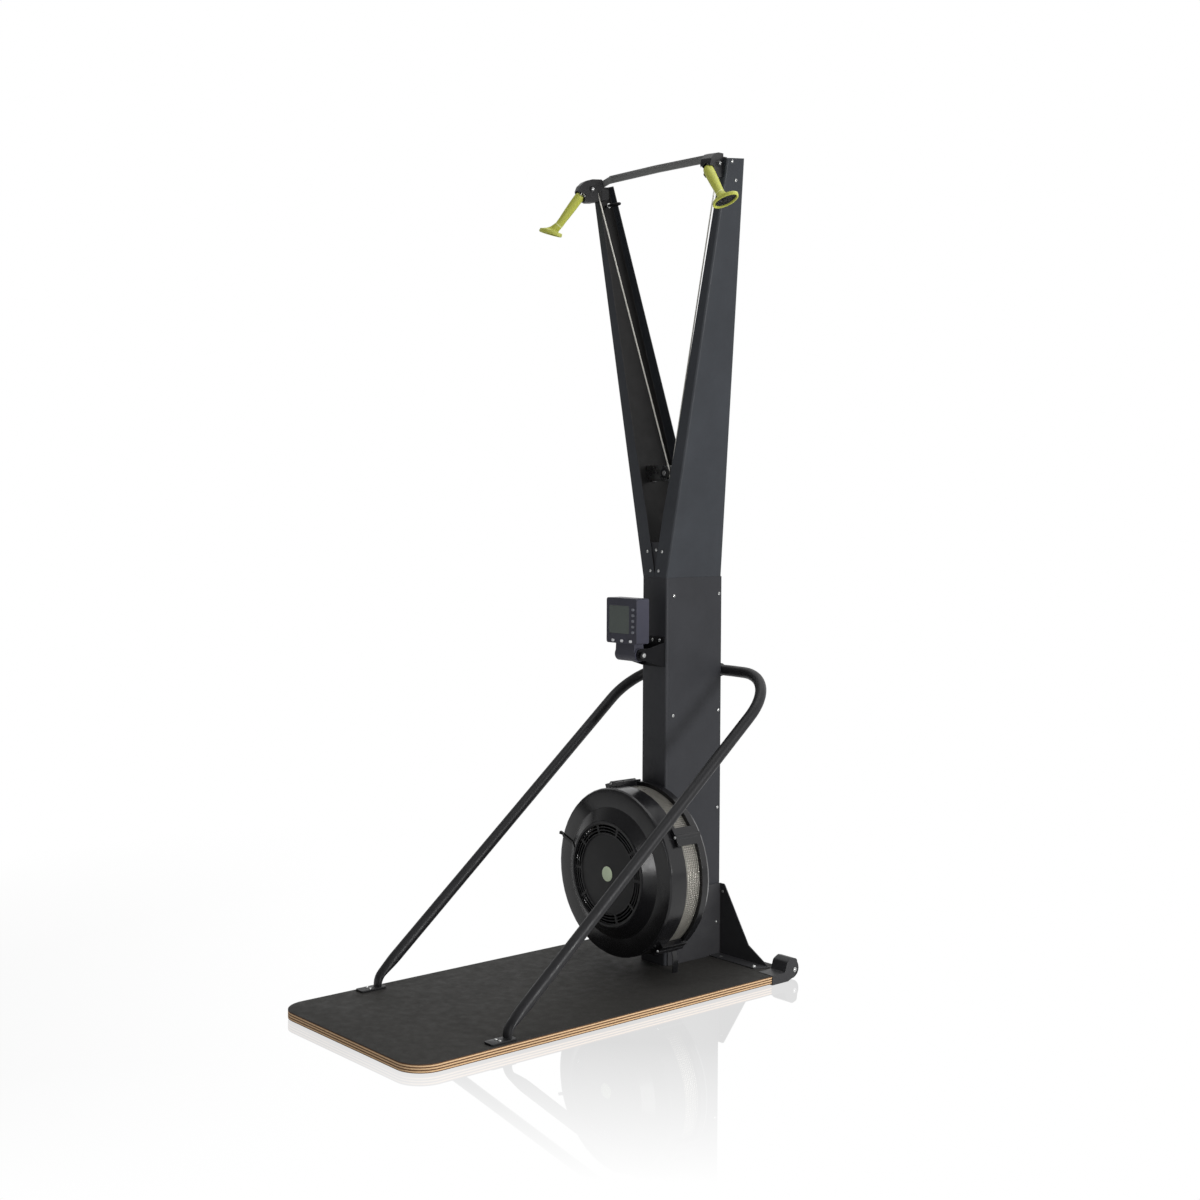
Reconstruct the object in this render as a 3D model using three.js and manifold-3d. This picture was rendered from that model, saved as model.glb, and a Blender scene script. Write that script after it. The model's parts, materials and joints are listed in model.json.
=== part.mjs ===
// Ski trainer machine: an upright column with two spread arms on a deck.
// Millimetres. X runs across, Y to the back, Z up.
// Every piece is drawn with Y zero on the column's front face and Z zero just
// above the floor, and is then moved so that the machine stands on the origin.

import * as THREE from "three";
import { mergeVertices } from "three/addons/utils/BufferGeometryUtils.js";
import Module from "manifold-3d";

const wasm = await Module();
wasm.setup();

// Driving dimensions.

const overallHeight = 2161;
const clearance = 0.3;
const sheet = 3;
const thinSheet = 2;
const weld = 0.001;
const overrun = 200;

const deckLength = 1219;
const deckWidth = 597;
const deckThickness = 21.5;
const deckCornerRadius = 70;
const deckTop = 20;
const floorDrop = 5;
const padWidth = 40;
const padInsetX = 60;
const padInsetFront = 80;
const padInsetRear = 190;
const columnSetback = 242;

const columnHalfWidth = 48;
const columnDepth = 205;
const columnTop = 1065;
const columnEdgeRadius = 6;
const columnLipDepth = 12;
const columnReturnDepth = 100;
const columnBackReturn = 33;
const tongueHalfWidth = 36;
const tongueRise = 94;
const tongueLap = 60;

const armTopOuterX = 268.8;
const armTopDrop = 14;
const armTopLean = 6.2;
const armTopDepth = 59.7;
const armLipWidth = 50;
const armLipWidthTop = 23;
const armLipWidthMid = 40;
const armFullLipShare = 0.162;
const armMidLipShare = 0.34;
const armBendRadius = 6;

const bracketHeight = 217;
const bracketFront = 10;
const bracketShoulderY = 60;
const bracketShoulderZ = 150;
const wingTopX = 67;
const wingWaistX = 161;
const wingWaistZ = 66;
const wingCasterGap = 8;
const flangeReach = 40;
const baseBoltRadius = 4.5;
const baseBoltNearX = 80;
const baseBoltInset = 30;
const baseBoltY = 183;

const braceRadius = 15;
const braceInset = 25;
const braceFootY = -701;
const braceKneeZ = 46;
const braceTopY = 203;
const braceTopZ = 805;
const braceTopBend = 163;
const braceKneeBend = 40;
const braceNeckX = 80;
const braceNeckBend = 200;
const braceEndX = 4;
const braceFootLength = 74;
const braceFootWidth = 33;
const braceFootLap = 17;
const braceFootPlate = 5;
const collarWall = 2.9;
const clampHalfHeight = 24;
const clampHalfWidth = 30;

const casterRadius = 26;
const casterWidth = 38.4;
const casterCentreZ = 23;
const casterOverhang = 24;
const casterAxleRadius = 5;
const casterNotchWidth = 50.5;
const casterNotchY = 155;
const casterProud = 2;
const casterFloorGap = 0.5;
const casterShelfZ = 21;
const casterShelfLength = 48;
const casterHoodTop = 56;
const casterRoom = 1.5;
const casterCheek = 2.5;
const casterBend = 9;
const casterHubRadius = 11;
const casterDish = 3;

const bandOuterRadius = 219.5;
const bandThickness = 2.5;
const bandFrontY = -92;
const bandRearY = -12;
const bandSlotFrontY = -80;
const bandSlotRearY = -39;
const bandSlotWidth = 7;
const bandSlotsPerBay = 9;
const bandSlotAngle = 6;
const skirtReach = 4.5;
const skirtFrontY = -135;
const skirtRearY = -84;
const brimWidth = 3;
const brimY = -140;
const shoulderWidth = 9;
const shoulderY = -142;
const shoulderFlat = 38;
const bevelY = -143;
const bevelWidth = 34;
const inletY = -163;
const grilleWidth = 35;
const grilleRowStart = 4;
const grilleRowWidth = 5.5;
const grilleRowPitch = 8;
const grilleRows = 3;
const grilleBays = 10;
const grilleOpenShare = 0.91;
const hubFaceY = -160;
const hubFaceDome = 3;
const badgeRadius = 20;
const badgeThickness = 1.5;
const badgeEdge = 1;
const rearReach = 11.5;
const rearLipY = -35;
const rearLipInnerY = -30;
const rearRound = 5;
const rearShoulderY = -8;
const rearPlateWidth = 17;
const rearPlateY = -2;
const clampOpenAngle = 12;
const clampReach = 16;
const clampBarrelRadius = 7;
const clampFrontY = -105;
const clampRearY = -20;
const fanLift = 34;
const legAngle = -62.5;
const legWidth = 18;
const legFrontY = -27;
const legThickness = 3;
const legBulge = 7;

const shaftRadius = 8;
const shaftFrontY = -140;
const shaftRearY = 106;
const shaftChamfer = 1;
const fanTipRoom = 13;
const fanHubRadius = 26;
const fanHubFrontY = -134;
const fanBackY = -24;
const fanDisc = 3;
const fanBladeLength = 92;
const fanBladeFrontY = -118;
const fanBladeThickness = 2;
const fanBlades = 12;
const fanBladeSweep = 26;
const fanRingWidth = 9;
const shellHoleRadius = 17;
const blockBossRadius = 15.5;
const blockHalfWidth = 42.4;
const blockWeb = 6;
const blockHalfHeight = 35;
const blockFrontPlate = 9;
const blockRearY = 94;
const blockRearPlate = 8;

const cordRadius = 1.9;
const cordSeat = 0.8;
const drumRadius = 25;
const drumFlangeRadius = 30;
const drumFlange = 2;
const drumHubRadius = 12;
const drumFrontY = 14;
const drumMainWidth = 26;
const drumHubWidth = 9;
const drumGap = 1;
const anchorDrop = 65;
const anchorRodRadius = 5;

const throatX = 17;
const throatY = 57;
const throatRise = 280;
const throatRadius = 14;
const pulleyRim = 1.6;
const pulleyWidth = 12;
const pulleyEdge = 1;
const throatPinRadius = 4;
const throatPinHead = 3;
const throatPlateHalf = 22;
const throatPlateGap = 2;
const throatTabDepth = 26;

const topPulleyX = 243;
const topPulleyY = -27;
const topPulleyDrop = 36;
const topPulleyRadius = 22;
const topPulleyAxleRadius = 4;
const topAxleHeadRadius = 7;
const topAxleHeadLength = 4;
const housingHalfWidth = 15;
const housingYaw = 15;
const housingReach = 50;
const housingRise = 35;
const housingSpout = 8;
const mouthMargin = 2;

const handleTopX = 250;
const handleTopY = -54.5;
const handleTopDrop = 51;
const handleTopRadius = 13.6;
const handleSlimRadius = 12.4;
const neckX = 326;
const neckY = -77.5;
const neckDrop = 135;
const flangeCentreX = 345;
const flangeCentreY = -84;
const flangeDrop = 146;
const flangeHalfLength = 43;
const flangeHalfWidth = 21;
const flangeRim = 5;
const flangeWall = 4.5;
const cupDepth = 9;
const insertRecess = 3;
const insertWall = 5;
const cordSocketDepth = 9;
const socketMargin = 1;
const handleRoomLength = 125;

const crossbarHeight = 18;
const crossbarThickness = 5;
const crossbarBendX = 200.6;
const crossbarEndX = 257;
const crossbarEndDrop = 14;
const crossbarBendRadius = 12;
const crossbarCorner = 2;
const crossbarCrown = 2;
const crossbarFlange = 8;

const monitorHalfWidth = 60;
const monitorBottom = 893;
const monitorTop = 1013;
const monitorFrontY = -117;
const monitorRearY = -73;
const monitorHumpY = -59;
const monitorHumpTop = 964;
const monitorHumpHalf = 38;
const monitorCornerRadius = 6;
const monitorWall = 2.5;
const pivotY = -87;
const pivotZ = 863;
const pivotRadius = 18;
const pivotHalfWidth = 40;
const pivotPinRadius = 5;
const screenLeftX = -50;
const screenRightX = 30;
const screenBottom = 919;
const screenTop = 993;
const screenThickness = 1.5;
const screenCorner = 2;
const buttonHalfWidth = 5;
const buttonHalfHeight = 3.6;
const buttonCorner = 3;
const buttonProud = 1.5;
const buttonLength = 7;
const buttonColumnX = 46;
const buttonColumnStart = 924;
const buttonColumnPitch = 15;
const buttonColumnCount = 5;
const buttonRowZ = 900;
const buttonRowStart = -33;
const buttonRowPitch = 35;
const buttonRowCount = 3;
const bracketPlateBottom = 826;
const bracketPlateTop = 906;
const bracketPlateCorner = 3;

const damperAngle = 161.6;
const damperWidth = 8;
const damperThickness = 2.5;
const damperLift = 0.8;
const damperCollar = 6.5;
const damperKnobReach = 12;

// Derived places.

const deckLow = deckTop - deckThickness;
const deckRear = columnSetback;
const deckFront = deckRear - deckLength;
const deckHalf = deckWidth / 2;
const casterNotchX = deckHalf - casterNotchWidth;
const wingEndX = casterNotchX - wingCasterGap;
const baseBoltFarX = wingEndX - baseBoltInset;
const braceX = deckHalf - braceInset;
const moveBack = (deckLength - casterOverhang) / 2 - columnSetback;
const footZ = deckTop + clearance;
const tongueTop = columnTop + tongueRise;
const returnAnchorZ = columnTop - anchorDrop;
const throatZ = columnTop + throatRise;
const armTopRearZ = overallHeight - armTopDrop;
const armTopFrontZ = armTopRearZ - armTopLean;
const armFullLipZ = THREE.MathUtils.lerp(columnTop, armTopRearZ, armFullLipShare);
const armMidLipZ = THREE.MathUtils.lerp(columnTop, armTopRearZ, armMidLipShare);
const armSlope = (armTopOuterX - columnHalfWidth) / (armTopRearZ - columnTop);
const armRearSlope = (columnDepth - armTopDepth) / (armTopRearZ - columnTop);
const braceBackY = columnDepth + sheet + clearance * 2 + braceRadius;
const casterInnerX = casterNotchX + clearance;
const casterOuterX = deckHalf + casterProud;
const casterCentreX = (casterInnerX + casterOuterX) / 2;
const casterCentreY = columnSetback + casterOverhang - casterRadius;
const skirtRadius = bandOuterRadius + skirtReach;
const brimRadius = skirtRadius - brimWidth;
const shoulderRadius = brimRadius - shoulderWidth;
const bevelRadius = shoulderRadius - shoulderFlat;
const inletRadius = bevelRadius - bevelWidth;
const hubFaceRadius = inletRadius - grilleWidth;
const rearOuterRadius = bandOuterRadius + rearReach;
const rearShoulderRadius = rearOuterRadius - rearRound;
const rearPlateRadius = rearOuterRadius - rearPlateWidth;
const fanRadius = bandOuterRadius - bandThickness - fanTipRoom;
const fanBladeInner = fanRadius - fanBladeLength;
const fanZ = deckTop + fanLift + rearOuterRadius;
const topPulleyZ = overallHeight - topPulleyDrop;
const handleTopZ = overallHeight - handleTopDrop;
const damperCollarInner = inletRadius - damperCollar;
const damperKnobRadius = skirtRadius + damperKnobReach;
const yaw = THREE.MathUtils.degToRad(housingYaw);
const fullTurn = 360;
const clampAngles = [103, 31, -54, -122, -188];

const columnGrey = new THREE.MeshStandardMaterial({ color: 0x46474b, metalness: 0.3, roughness: 0.45 });
const armGrey = new THREE.MeshStandardMaterial({ color: 0x4b5056, metalness: 0.3, roughness: 0.45 });
const deckCharcoal = new THREE.MeshStandardMaterial({ color: 0x3c3b38, roughness: 0.9 });
const blackSteel = new THREE.MeshStandardMaterial({ color: 0x1a1b1c, metalness: 0.4, roughness: 0.5 });
const blackPlastic = new THREE.MeshStandardMaterial({ color: 0x1f2022, roughness: 0.55 });
const shellGrey = new THREE.MeshStandardMaterial({ color: 0x242527, roughness: 0.5 });
const bandSteel = new THREE.MeshStandardMaterial({ color: 0xc8c8be, metalness: 0.8, roughness: 0.4 });
const brightSteel = new THREE.MeshStandardMaterial({ color: 0xc4c6c8, metalness: 0.9, roughness: 0.3 });
const handleLime = new THREE.MeshStandardMaterial({ color: 0xb2b83c, roughness: 0.6 });
const rubber = new THREE.MeshStandardMaterial({ color: 0x1d1d1e, roughness: 0.9 });
const cordWhite = new THREE.MeshStandardMaterial({ color: 0xe4e3dc, roughness: 0.85 });
const badgeGreen = new THREE.MeshStandardMaterial({ color: 0xdfeccb, roughness: 0.4 });
const screenGreen = new THREE.MeshStandardMaterial({ color: 0x9aa79b, roughness: 0.2 });
const buttonGrey = new THREE.MeshStandardMaterial({ color: 0xd9dadb, roughness: 0.6 });

const machine = new THREE.Group();
machine.name = "ski_trainer";

// Geometry helpers.

function tidy(geometry) {
  for (const name of ["normal", "uv"]) {
    if (geometry.getAttribute(name)) geometry.deleteAttribute(name);
  }
  const merged = mergeVertices(geometry, weld);
  const index = merged.getIndex().array;
  const place = merged.getAttribute("position");
  const corner = [new THREE.Vector3(), new THREE.Vector3(), new THREE.Vector3()];
  const kept = [];
  let volume = 0;
  for (let face = 0; face < index.length; face += 3) {
    const [a, b, c] = [index[face], index[face + 1], index[face + 2]];
    if (a === b || b === c || c === a) continue;
    kept.push(a, b, c);
    [a, b, c].forEach((vertex, side) => corner[side].fromBufferAttribute(place, vertex));
    volume += corner[0].dot(corner[1].clone().cross(corner[2]));
  }
  if (volume < 0) {
    for (let face = 0; face < kept.length; face += 3) {
      [kept[face + 1], kept[face + 2]] = [kept[face + 2], kept[face + 1]];
    }
  }
  merged.setIndex(kept);
  return merged;
}

function toSolid(geometry) {
  const clean = tidy(geometry);
  const vertProperties = new Float32Array(clean.getAttribute("position").array);
  const triVerts = new Uint32Array(clean.getIndex().array);
  return new wasm.Manifold(new wasm.Mesh({ numProp: 3, vertProperties, triVerts }));
}

function fromSolid(solid) {
  const mesh = solid.getMesh();
  const geometry = new THREE.BufferGeometry();
  geometry.setAttribute("position", new THREE.BufferAttribute(new Float32Array(mesh.vertProperties), 3));
  geometry.setIndex(new THREE.BufferAttribute(new Uint32Array(mesh.triVerts), 1));
  return geometry;
}

function join(...pieces) {
  return fromSolid(pieces.map(toSolid).reduce((whole, piece) => whole.add(piece)));
}

function cut(base, ...tools) {
  return fromSolid(tools.map(toSolid).reduce((rest, tool) => rest.subtract(tool), toSolid(base)));
}

function swapAxes(geometry, order) {
  const rows = { x: [1, 0, 0], y: [0, 1, 0], z: [0, 0, 1] };
  const [a, b, c] = [...order].map((axis) => rows[axis]);
  const matrix = new THREE.Matrix4().set(...a, 0, ...b, 0, ...c, 0, 0, 0, 0, 1);
  return geometry.applyMatrix4(matrix);
}

// Corners are [u, v, radius]; a missing radius leaves the corner sharp.
function roundCorners(corners, steps = 3) {
  const points = [];
  corners.forEach(([u, v, radius = 0], at) => {
    const here = new THREE.Vector2(u, v);
    if (radius === 0) {
      points.push(here);
      return;
    }
    const before = corners[(at + corners.length - 1) % corners.length];
    const after = corners[(at + 1) % corners.length];
    const back = new THREE.Vector2(before[0], before[1]).sub(here).normalize();
    const ahead = new THREE.Vector2(after[0], after[1]).sub(here).normalize();
    const half = Math.acos(THREE.MathUtils.clamp(back.dot(ahead), -1, 1)) / 2;
    const reach = radius / Math.tan(half);
    const middle = back.clone().add(ahead).normalize();
    const centre = here.clone().addScaledVector(middle, radius / Math.sin(half));
    const first = here.clone().addScaledVector(back, reach).sub(centre);
    const last = here.clone().addScaledVector(ahead, reach).sub(centre);
    const turn = Math.atan2(first.cross(last), first.dot(last));
    for (let step = 0; step <= steps; step++) {
      points.push(first.clone().rotateAround(new THREE.Vector2(), (turn * step) / steps).add(centre));
    }
  });
  return points;
}

function circle(u, v, radius, sides = 16) {
  const points = [];
  for (let side = 0; side < sides; side++) {
    const angle = (2 * Math.PI * side) / sides;
    points.push(new THREE.Vector2(u + radius * Math.cos(angle), v + radius * Math.sin(angle)));
  }
  return points;
}

function box(u0, u1, v0, v1, radius = 0) {
  return [[u0, v0, radius], [u1, v0, radius], [u1, v1, radius], [u0, v1, radius]];
}

// A prism with its outline in the two other axes: x takes (y, z), y takes (x, z), z takes (x, y).
function prism(axis, corners, start, end, holes = []) {
  const outline = Array.isArray(corners[0]) ? roundCorners(corners) : corners;
  const shape = new THREE.Shape(outline);
  for (const hole of holes) shape.holes.push(new THREE.Path(hole));
  const geometry = new THREE.ExtrudeGeometry(shape, { depth: end - start, bevelEnabled: false });
  geometry.translate(0, 0, start);
  return swapAxes(geometry, { x: "zxy", y: "xzy", z: "xyz" }[axis]);
}

// A turned piece: profile points are [radius, place along the axis].
function turned(axis, profile, segments = 24) {
  const points = profile.map(([radius, along]) => new THREE.Vector2(radius, along));
  const geometry = new THREE.LatheGeometry(points, segments);
  return swapAxes(geometry, { x: "yxz", y: "xyz", z: "xzy" }[axis]);
}

function disc(axis, radius, start, end, segments = 18) {
  return turned(axis, [[0, start], [radius, start], [radius, end], [0, end]], segments);
}

function ring(axis, inner, outer, start, end, segments = 24) {
  const profile = [[inner, start], [outer, start], [outer, end], [inner, end], [inner, start]];
  return turned(axis, profile, segments);
}

function rod(from, to, radius, sides = 16) {
  const along = to.clone().sub(from);
  const geometry = disc("y", radius, 0, along.length(), sides);
  const turn = new THREE.Quaternion().setFromUnitVectors(new THREE.Vector3(0, 1, 0), along.normalize());
  return geometry.applyQuaternion(turn).translate(from.x, from.y, from.z);
}

// A path that passes through its points one per step.
class Route extends THREE.Curve {
  constructor(points) {
    super();
    this.points = points;
  }

  getPoint(share, target = new THREE.Vector3()) {
    const place = THREE.MathUtils.clamp(share, 0, 1) * (this.points.length - 1);
    const first = Math.min(Math.floor(place), this.points.length - 2);
    return target.lerpVectors(this.points[first], this.points[first + 1], place - first);
  }

  getPointAt(share, target) {
    return this.getPoint(share, target);
  }

  getTangentAt(share, target) {
    return this.getTangent(share, target);
  }
}

// Straight runs with round corners; stops are [x, y, z, radius].
function bentPath(stops, steps = 8) {
  const points = [];
  stops.forEach(([x, y, z, radius = 0], at) => {
    const here = new THREE.Vector3(x, y, z);
    if (radius === 0) {
      points.push(here);
      return;
    }
    const back = new THREE.Vector3(...stops[at - 1].slice(0, 3)).sub(here).normalize();
    const ahead = new THREE.Vector3(...stops[at + 1].slice(0, 3)).sub(here).normalize();
    const half = back.angleTo(ahead) / 2;
    const middle = back.clone().add(ahead).normalize();
    const centre = here.clone().addScaledVector(middle, radius / Math.sin(half));
    const first = here.clone().addScaledVector(back, radius / Math.tan(half)).sub(centre);
    const spin = back.clone().cross(ahead).normalize().negate();
    for (let step = 0; step <= steps; step++) {
      const angle = ((Math.PI - 2 * half) * step) / steps;
      points.push(first.clone().applyAxisAngle(spin, angle).add(centre));
    }
  });
  return points;
}

function tube(points, radius, sides = 12, bore = 0) {
  const shape = new THREE.Shape(circle(0, 0, radius, sides));
  if (bore > 0) shape.holes.push(new THREE.Path(circle(0, 0, bore, sides)));
  return new THREE.ExtrudeGeometry(shape, { steps: points.length - 1, extrudePath: new Route(points) });
}

// A skin over matching loops of points, closed at both ends.
function loft(loops) {
  const count = loops[0].length;
  const geometry = new THREE.BufferGeometry();
  const values = loops.flatMap((loop) => loop.flatMap((point) => [point.x, point.y, point.z]));
  const faces = [];
  for (let row = 0; row < loops.length - 1; row++) {
    for (let side = 0; side < count; side++) {
      const [a, b] = [row * count + side, row * count + ((side + 1) % count)];
      faces.push(a, b, b + count, a, b + count, a + count);
    }
  }
  for (const [row, forward] of [[0, false], [loops.length - 1, true]]) {
    const triangles = capFaces(loops[row], forward);
    faces.push(...triangles.flat().map((vertex) => vertex + row * count));
  }
  geometry.setAttribute("position", new THREE.Float32BufferAttribute(values, 3));
  geometry.setIndex(faces);
  return geometry;
}

function capFaces(loop, forward) {
  const normal = new THREE.Vector3();
  loop.forEach((point, at) => normal.add(point.clone().cross(loop[(at + 1) % loop.length])));
  const [nx, ny, nz] = normal.toArray().map(Math.abs);
  let flat = loop.map((point) => new THREE.Vector2(point.x, point.y));
  if (nx > ny && nx > nz) flat = loop.map((point) => new THREE.Vector2(point.y, point.z));
  else if (ny > nz) flat = loop.map((point) => new THREE.Vector2(point.x, point.z));
  const triangles = THREE.ShapeUtils.triangulateShape(flat, []);
  const isForward = triangles.some((face) => face.some((vertex, side) => {
    const next = face[(side + 1) % 3];
    return next === (vertex + 1) % loop.length;
  }));
  const isBackward = triangles.some((face) => face.some((vertex, side) => {
    const next = face[(side + 1) % 3];
    return vertex === (next + 1) % loop.length;
  }));
  const flip = forward ? isBackward && !isForward : isForward;
  return flip ? triangles.map(([a, b, c]) => [a, c, b]) : triangles;
}

// Moves every edge of a closed outline inwards.
function inset(corners, distance) {
  const area = corners.reduce((sum, [u, v], at) => {
    const [u1, v1] = corners[(at + 1) % corners.length];
    return sum + u * v1 - u1 * v;
  }, 0);
  const side = Math.sign(area) * distance;
  return corners.map(([u, v, radius = 0], at) => {
    const [ua, va] = corners[(at + corners.length - 1) % corners.length];
    const [ub, vb] = corners[(at + 1) % corners.length];
    const before = new THREE.Vector2(u - ua, v - va).normalize();
    const after = new THREE.Vector2(ub - u, vb - v).normalize();
    const scale = side / (1 + before.dot(after));
    const round = Math.max(0, radius - distance);
    return [u - (before.y + after.y) * scale, v + (before.x + after.x) * scale, round];
  });
}

function mirrored(geometry) {
  return geometry.clone().scale(-1, 1, 1);
}

function add(name, geometry, material) {
  const piece = tidy(geometry.clone().translate(0, moveBack, floorDrop));
  piece.computeVertexNormals();
  const mesh = new THREE.Mesh(piece, material);
  mesh.name = name;
  machine.add(mesh);
}

function addPair(name, geometry, material) {
  add(`${name}_right`, geometry, material);
  add(`${name}_left`, mirrored(geometry), material);
}

function vec(x, y, z) {
  return new THREE.Vector3(x, y, z);
}

function aroundFan(geometry, degrees = 0) {
  return geometry.rotateY(-THREE.MathUtils.degToRad(degrees)).translate(0, 0, fanZ);
}

// Deck, pads and base.

function buildDeck() {
  const side = [
    [deckHalf, deckFront, deckCornerRadius], [deckHalf, casterNotchY, 0],
    [casterNotchX, casterNotchY, 0], [casterNotchX, deckRear, 0],
  ];
  const other = side.map(([x, y, radius]) => [-x, y, radius]).reverse();
  add("platform", prism("z", [...side, ...other], deckLow, deckTop), deckCharcoal);
  const half = deckHalf - padInsetX;
  for (const [name, y] of [["front", deckFront + padInsetFront], ["rear", deckRear - padInsetRear]]) {
    const strip = box(-half, half, y, y + padWidth, padWidth / 4);
    add(`platform_strip_${name}`, prism("z", strip, -floorDrop, deckLow), rubber);
  }
}

function buildBaseBrackets() {
  const inner = columnHalfWidth + clearance;
  const rear = columnDepth + clearance;
  const side = prism("x", [
    [bracketFront, deckTop, 0], [rear + sheet, deckTop, 0], [rear + sheet, bracketHeight, 0],
    [bracketShoulderY, bracketHeight, armBendRadius], [bracketFront, bracketShoulderZ, armBendRadius],
  ], inner, inner + sheet);
  const wing = prism("y", [
    [inner, deckTop, 0], [wingEndX, deckTop, 0], [wingWaistX, wingWaistZ, 0],
    [wingTopX, bracketHeight, armBendRadius], [inner, bracketHeight, 0],
  ], rear, rear + sheet);
  const holes = [baseBoltNearX, baseBoltFarX].map((x) => circle(x, baseBoltY, baseBoltRadius, 12));
  const flange = prism("z", [
    [inner, rear + sheet, 0], [inner, rear - flangeReach, 0],
    [wingEndX - flangeReach / 2, rear - flangeReach, columnEdgeRadius], [wingEndX, rear + sheet, 0],
  ], deckTop, deckTop + sheet, holes);
  addPair("base_bracket", join(side, wing, flange), blackSteel);
}

// Column.

function buildColumn() {
  const outer = columnHalfWidth;
  const lining = outer - thinSheet - clearance;
  const inner = lining - sheet;
  const section = [
    [-outer, columnLipDepth, 0], [-outer, 0, columnEdgeRadius], [outer, 0, columnEdgeRadius],
    [outer, columnLipDepth, 0], [lining, columnLipDepth, 0], [lining, columnReturnDepth, 0],
    [inner, columnReturnDepth, 0], [inner, sheet, 0], [-inner, sheet, 0],
    [-inner, columnReturnDepth, 0], [-lining, columnReturnDepth, 0], [-lining, columnLipDepth, 0],
  ];
  const channel = prism("z", section, footZ, columnTop - clearance);
  const tongueFront = sheet + clearance;
  const tongue = prism("y", box(-tongueHalfWidth, tongueHalfWidth, columnTop - tongueLap, tongueTop),
    tongueFront, tongueFront + sheet);
  const lap = prism("y", box(-tongueHalfWidth, tongueHalfWidth, columnTop - tongueLap, columnTop - sheet),
    sheet / 2, tongueFront + sheet / 2);
  const anchor = disc("x", anchorRodRadius, -inner - sheet / 2, anchorRodRadius - drumHubRadius, 16)
    .translate(0, returnY(), returnAnchorZ);
  const opening = disc("y", blockBossRadius + clearance, -sheet, sheet * 2, 32).translate(0, 0, fanZ);
  add("column_frame", cut(join(channel, tongue, lap, anchor), opening), columnGrey);

  const back = [
    [-lining, columnDepth - columnBackReturn, 0], [-lining, columnDepth, 0],
    [lining, columnDepth, 0], [lining, columnDepth - columnBackReturn, 0],
    [inner, columnDepth - columnBackReturn, 0], [inner, columnDepth - sheet, 0],
    [-inner, columnDepth - sheet, 0], [-inner, columnDepth - columnBackReturn, 0],
  ];
  add("column_back", prism("z", back, footZ, columnTop - clearance), columnGrey);
  const cover = prism("x", box(columnLipDepth + clearance, columnDepth, footZ, columnTop - clearance),
    outer - thinSheet, outer);
  addPair("column_cover", cover, columnGrey);
}

// Arms and crossbar.

function armOuterX(z) {
  return columnHalfWidth + armSlope * (z - columnTop);
}

function armRearY(z) {
  return columnDepth - armRearSlope * (z - columnTop);
}

function armLip(z) {
  const lap = armOuterX(z) - clearance;
  if (z <= armFullLipZ) return Math.min(armLipWidth, lap);
  if (z <= armMidLipZ) {
    return THREE.MathUtils.mapLinear(z, armFullLipZ, armMidLipZ, armLipWidth, armLipWidthMid);
  }
  return THREE.MathUtils.mapLinear(z, armMidLipZ, armTopRearZ, armLipWidthMid, armLipWidthTop);
}

function armTopZ(y) {
  return THREE.MathUtils.mapLinear(y, 0, armTopDepth, armTopFrontZ, armTopRearZ);
}

function armLoop(z, topEdge = false) {
  const outer = armOuterX(z);
  const tip = outer - armLip(z);
  const rear = armRearY(z);
  const bend = armBendRadius;
  const skin = [[tip, 0, 0], [outer, 0, bend], [outer, rear, bend], [tip, rear, 0]];
  const lining = [
    [tip, rear - sheet, 0], [outer - sheet, rear - sheet, bend - sheet],
    [outer - sheet, sheet, bend - sheet], [tip, sheet, 0],
  ];
  return roundCorners([...skin, ...lining], 4).map((point) => {
    const height = topEdge ? armTopZ(point.y) : z;
    return vec(point.x + armSlope * (height - z), point.y, height);
  });
}

function buildArms() {
  const lipMeets = columnTop + (armLipWidth + clearance - columnHalfWidth) / armSlope;
  const heights = [columnTop, lipMeets, armFullLipZ, armMidLipZ];
  const loops = heights.map((z) => armLoop(z));
  loops.push(armLoop(armTopFrontZ, true));
  addPair("arm", loft(loops), armGrey);
}

function buildCrossbar() {
  const shoulder = overallHeight - crossbarCrown;
  const [end, bend] = [shoulder - crossbarEndDrop, crossbarBendRadius];
  const crown = [[-crossbarBendX, shoulder, bend], [0, overallHeight, 0], [crossbarBendX, shoulder, bend]];
  const spine = [[-crossbarEndX, end, crossbarCorner], ...crown, [crossbarEndX, end, crossbarCorner]];
  const strip = (line, height) => {
    const low = line.map(([x, z, radius]) => [x, z - height, radius]).reverse();
    return [...line, ...low];
  };
  const front = sheet + clearance;
  const web = prism("y", strip(spine, crossbarHeight), front, front + crossbarThickness);
  const edge = crown.map(([x, z]) => [x - Math.sign(x) * bend, z, 0]);
  const flange = prism("y", strip(edge, sheet), front - crossbarFlange, front + sheet);
  add("crossbar", join(web, flange), blackSteel);
}

// Braces.

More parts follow.
